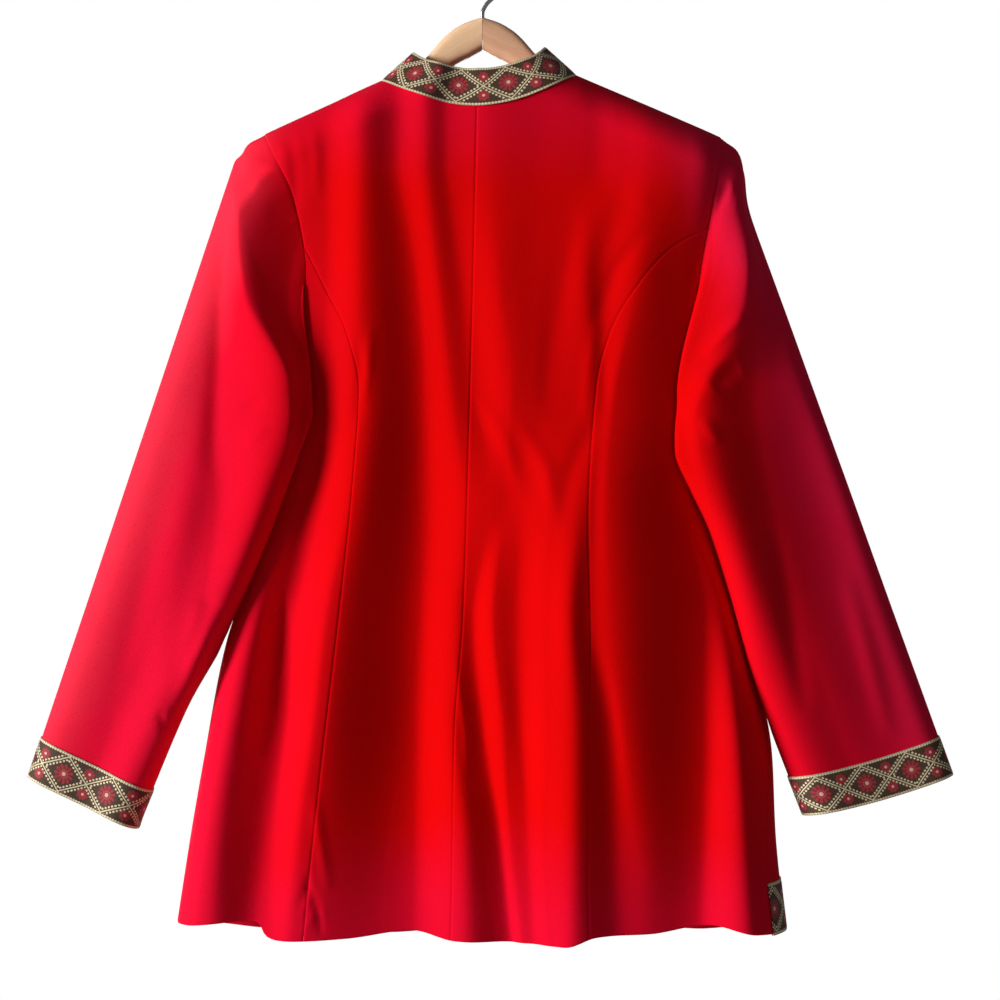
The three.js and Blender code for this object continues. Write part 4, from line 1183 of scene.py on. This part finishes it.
def hanger_arm(hand, sides=40):
    sign = SHOULDER[hand]["sign"]
    xs = np.concatenate([HANGER_ARM[:, 0], ARM_STATIONS])
    top = np.concatenate([HANGER_ARM[:, 1], shoulder_drop(sign * ARM_STATIONS) + HANGER_CLEARANCE])
    depth = np.where(ARM_STATIONS < ARM_TIP, ARM_DEPTH, ARM_TIP_DEPTH)
    depth = np.concatenate([HANGER_ARM[:, 2], depth])
    thick = np.where(xs < 188, HANGER_THICK, HANGER_THICK * 0.8)
    x = np.concatenate([np.linspace(xs[0], 80, 60), np.linspace(82, HANGER_REACH, 60)])
    top, depth, thick = (through(xs, values, x) for values in (top, depth, thick))
    ease = np.sqrt(np.clip((HANGER_REACH - x) / ARM_END_ROUNDING, 0.02, 1))
    turn = np.linspace(0, 2 * math.pi, sides, endpoint=False)

    def boxy(value):
        return np.sign(value) * np.abs(value) ** ARM_BOXINESS

    y = (thick / 2 * ease)[:, None] * boxy(np.sin(turn))
    z = -(top + depth / 2)[:, None] + (depth / 2 * ease)[:, None] * boxy(np.cos(turn))
    rings = np.stack([np.repeat(sign * x[:, None], sides, axis=1), y, z], axis=-1)
    return rod(f"hanger_arm_{hand}_wood", rings)


def hook(sides=20):
    centre = HOOK_WIRE / 2 - HOOK_RADIUS
    turns = np.radians(np.linspace(*HOOK_TURNS, 40))
    bend = np.stack([HOOK_RADIUS * np.cos(turns), centre + HOOK_RADIUS * np.sin(turns)], axis=-1)
    route = np.concatenate([HOOK_SHANK, bend])
    length = np.concatenate([[0], np.cumsum(np.linalg.norm(np.diff(route, axis=0), axis=-1))])
    along = np.linspace(0, length[-1], 150)
    across, up = (through(length, route[:, k], along) for k in (0, 1))
    line = np.stack([across, 0 * along, up], axis=-1)
    side = np.cross(unit(np.gradient(line, axis=0)), [0, 1, 0])
    from_end = np.minimum(along, along[::-1])
    radius = HOOK_WIRE / 2 * np.sqrt(np.clip(from_end / HOOK_END_ROUNDING, 0.05, 1))
    turn = np.linspace(0, 2 * math.pi, sides, endpoint=False)
    rings = (
        line[:, None]
        + (radius[:, None] * np.cos(turn))[..., None] * side[:, None]
        + (radius[:, None] * np.sin(turn))[..., None] * np.array([0, 1, 0])
    )
    return rod("hanger_hook_wire", rings)


for hand in ("left", "right"):
    finish_piece(hanger_arm(hand), f"hanger_arm_{hand}", hanger_wood(hand))
finish_piece(hook(), "hanger_hook", hook_steel())

# -------------------- stage, light and camera
FLOOR_DROP, FLOOR_RADIUS = 1.62, 3.2
AMBIENT = 0.13  # how strongly the white backdrop lights the jacket
CAMERA_PLACE = (0.0162, -2.45, -0.4967)
LENS, SENSOR = 96, 36

bpy.ops.mesh.primitive_circle_add(
    vertices=96, radius=FLOOR_RADIUS, fill_type="NGON", location=(0, 0, -FLOOR_DROP)
)
floor = bpy.context.object
floor.name = "floor"
floor.data.materials.append(floor_paper())

scene = bpy.context.scene
scene.view_settings.view_transform = "Standard"
scene.view_settings.look = "None"

world = bpy.data.worlds.new("studio")
world.use_nodes = True
scene.world = world
nodes, links = world.node_tree.nodes, world.node_tree.links
backdrop = nodes["Background"]
backdrop.inputs["Color"].default_value = linear(1, 1, 1)
path = nodes.new("ShaderNodeLightPath")
level = nodes.new("ShaderNodeMapRange")
level.inputs["To Min"].default_value = AMBIENT
level.inputs["To Max"].default_value = 1.0
links.new(path.outputs["Is Camera Ray"], level.inputs["Value"])
links.new(level.outputs[0], backdrop.inputs["Strength"])


def sun(name, towards, strength, soft):
    """A light from this direction, which is soft degrees wide."""
    light = bpy.data.lights.new(name, "SUN")
    light.energy = strength
    light.angle = math.radians(soft)
    lamp = bpy.data.objects.new(name, light)
    x, y, z = towards
    lamp.rotation_euler = (math.atan2(math.hypot(x, y), z), 0, math.atan2(y, x) + math.pi / 2)
    bpy.context.collection.objects.link(lamp)


sun("key", (-0.9, -0.43, 0.08), 4.2, 20)
sun("front_fill", (-0.2, 0.97, 0.01), 1.6, 40)

camera = bpy.data.objects.new("camera", bpy.data.cameras.new("camera"))
camera.location = CAMERA_PLACE
camera.rotation_euler = (math.pi / 2, 0, 0)
camera.data.lens = LENS
camera.data.sensor_width = SENSOR
bpy.context.collection.objects.link(camera)
scene.camera = camera
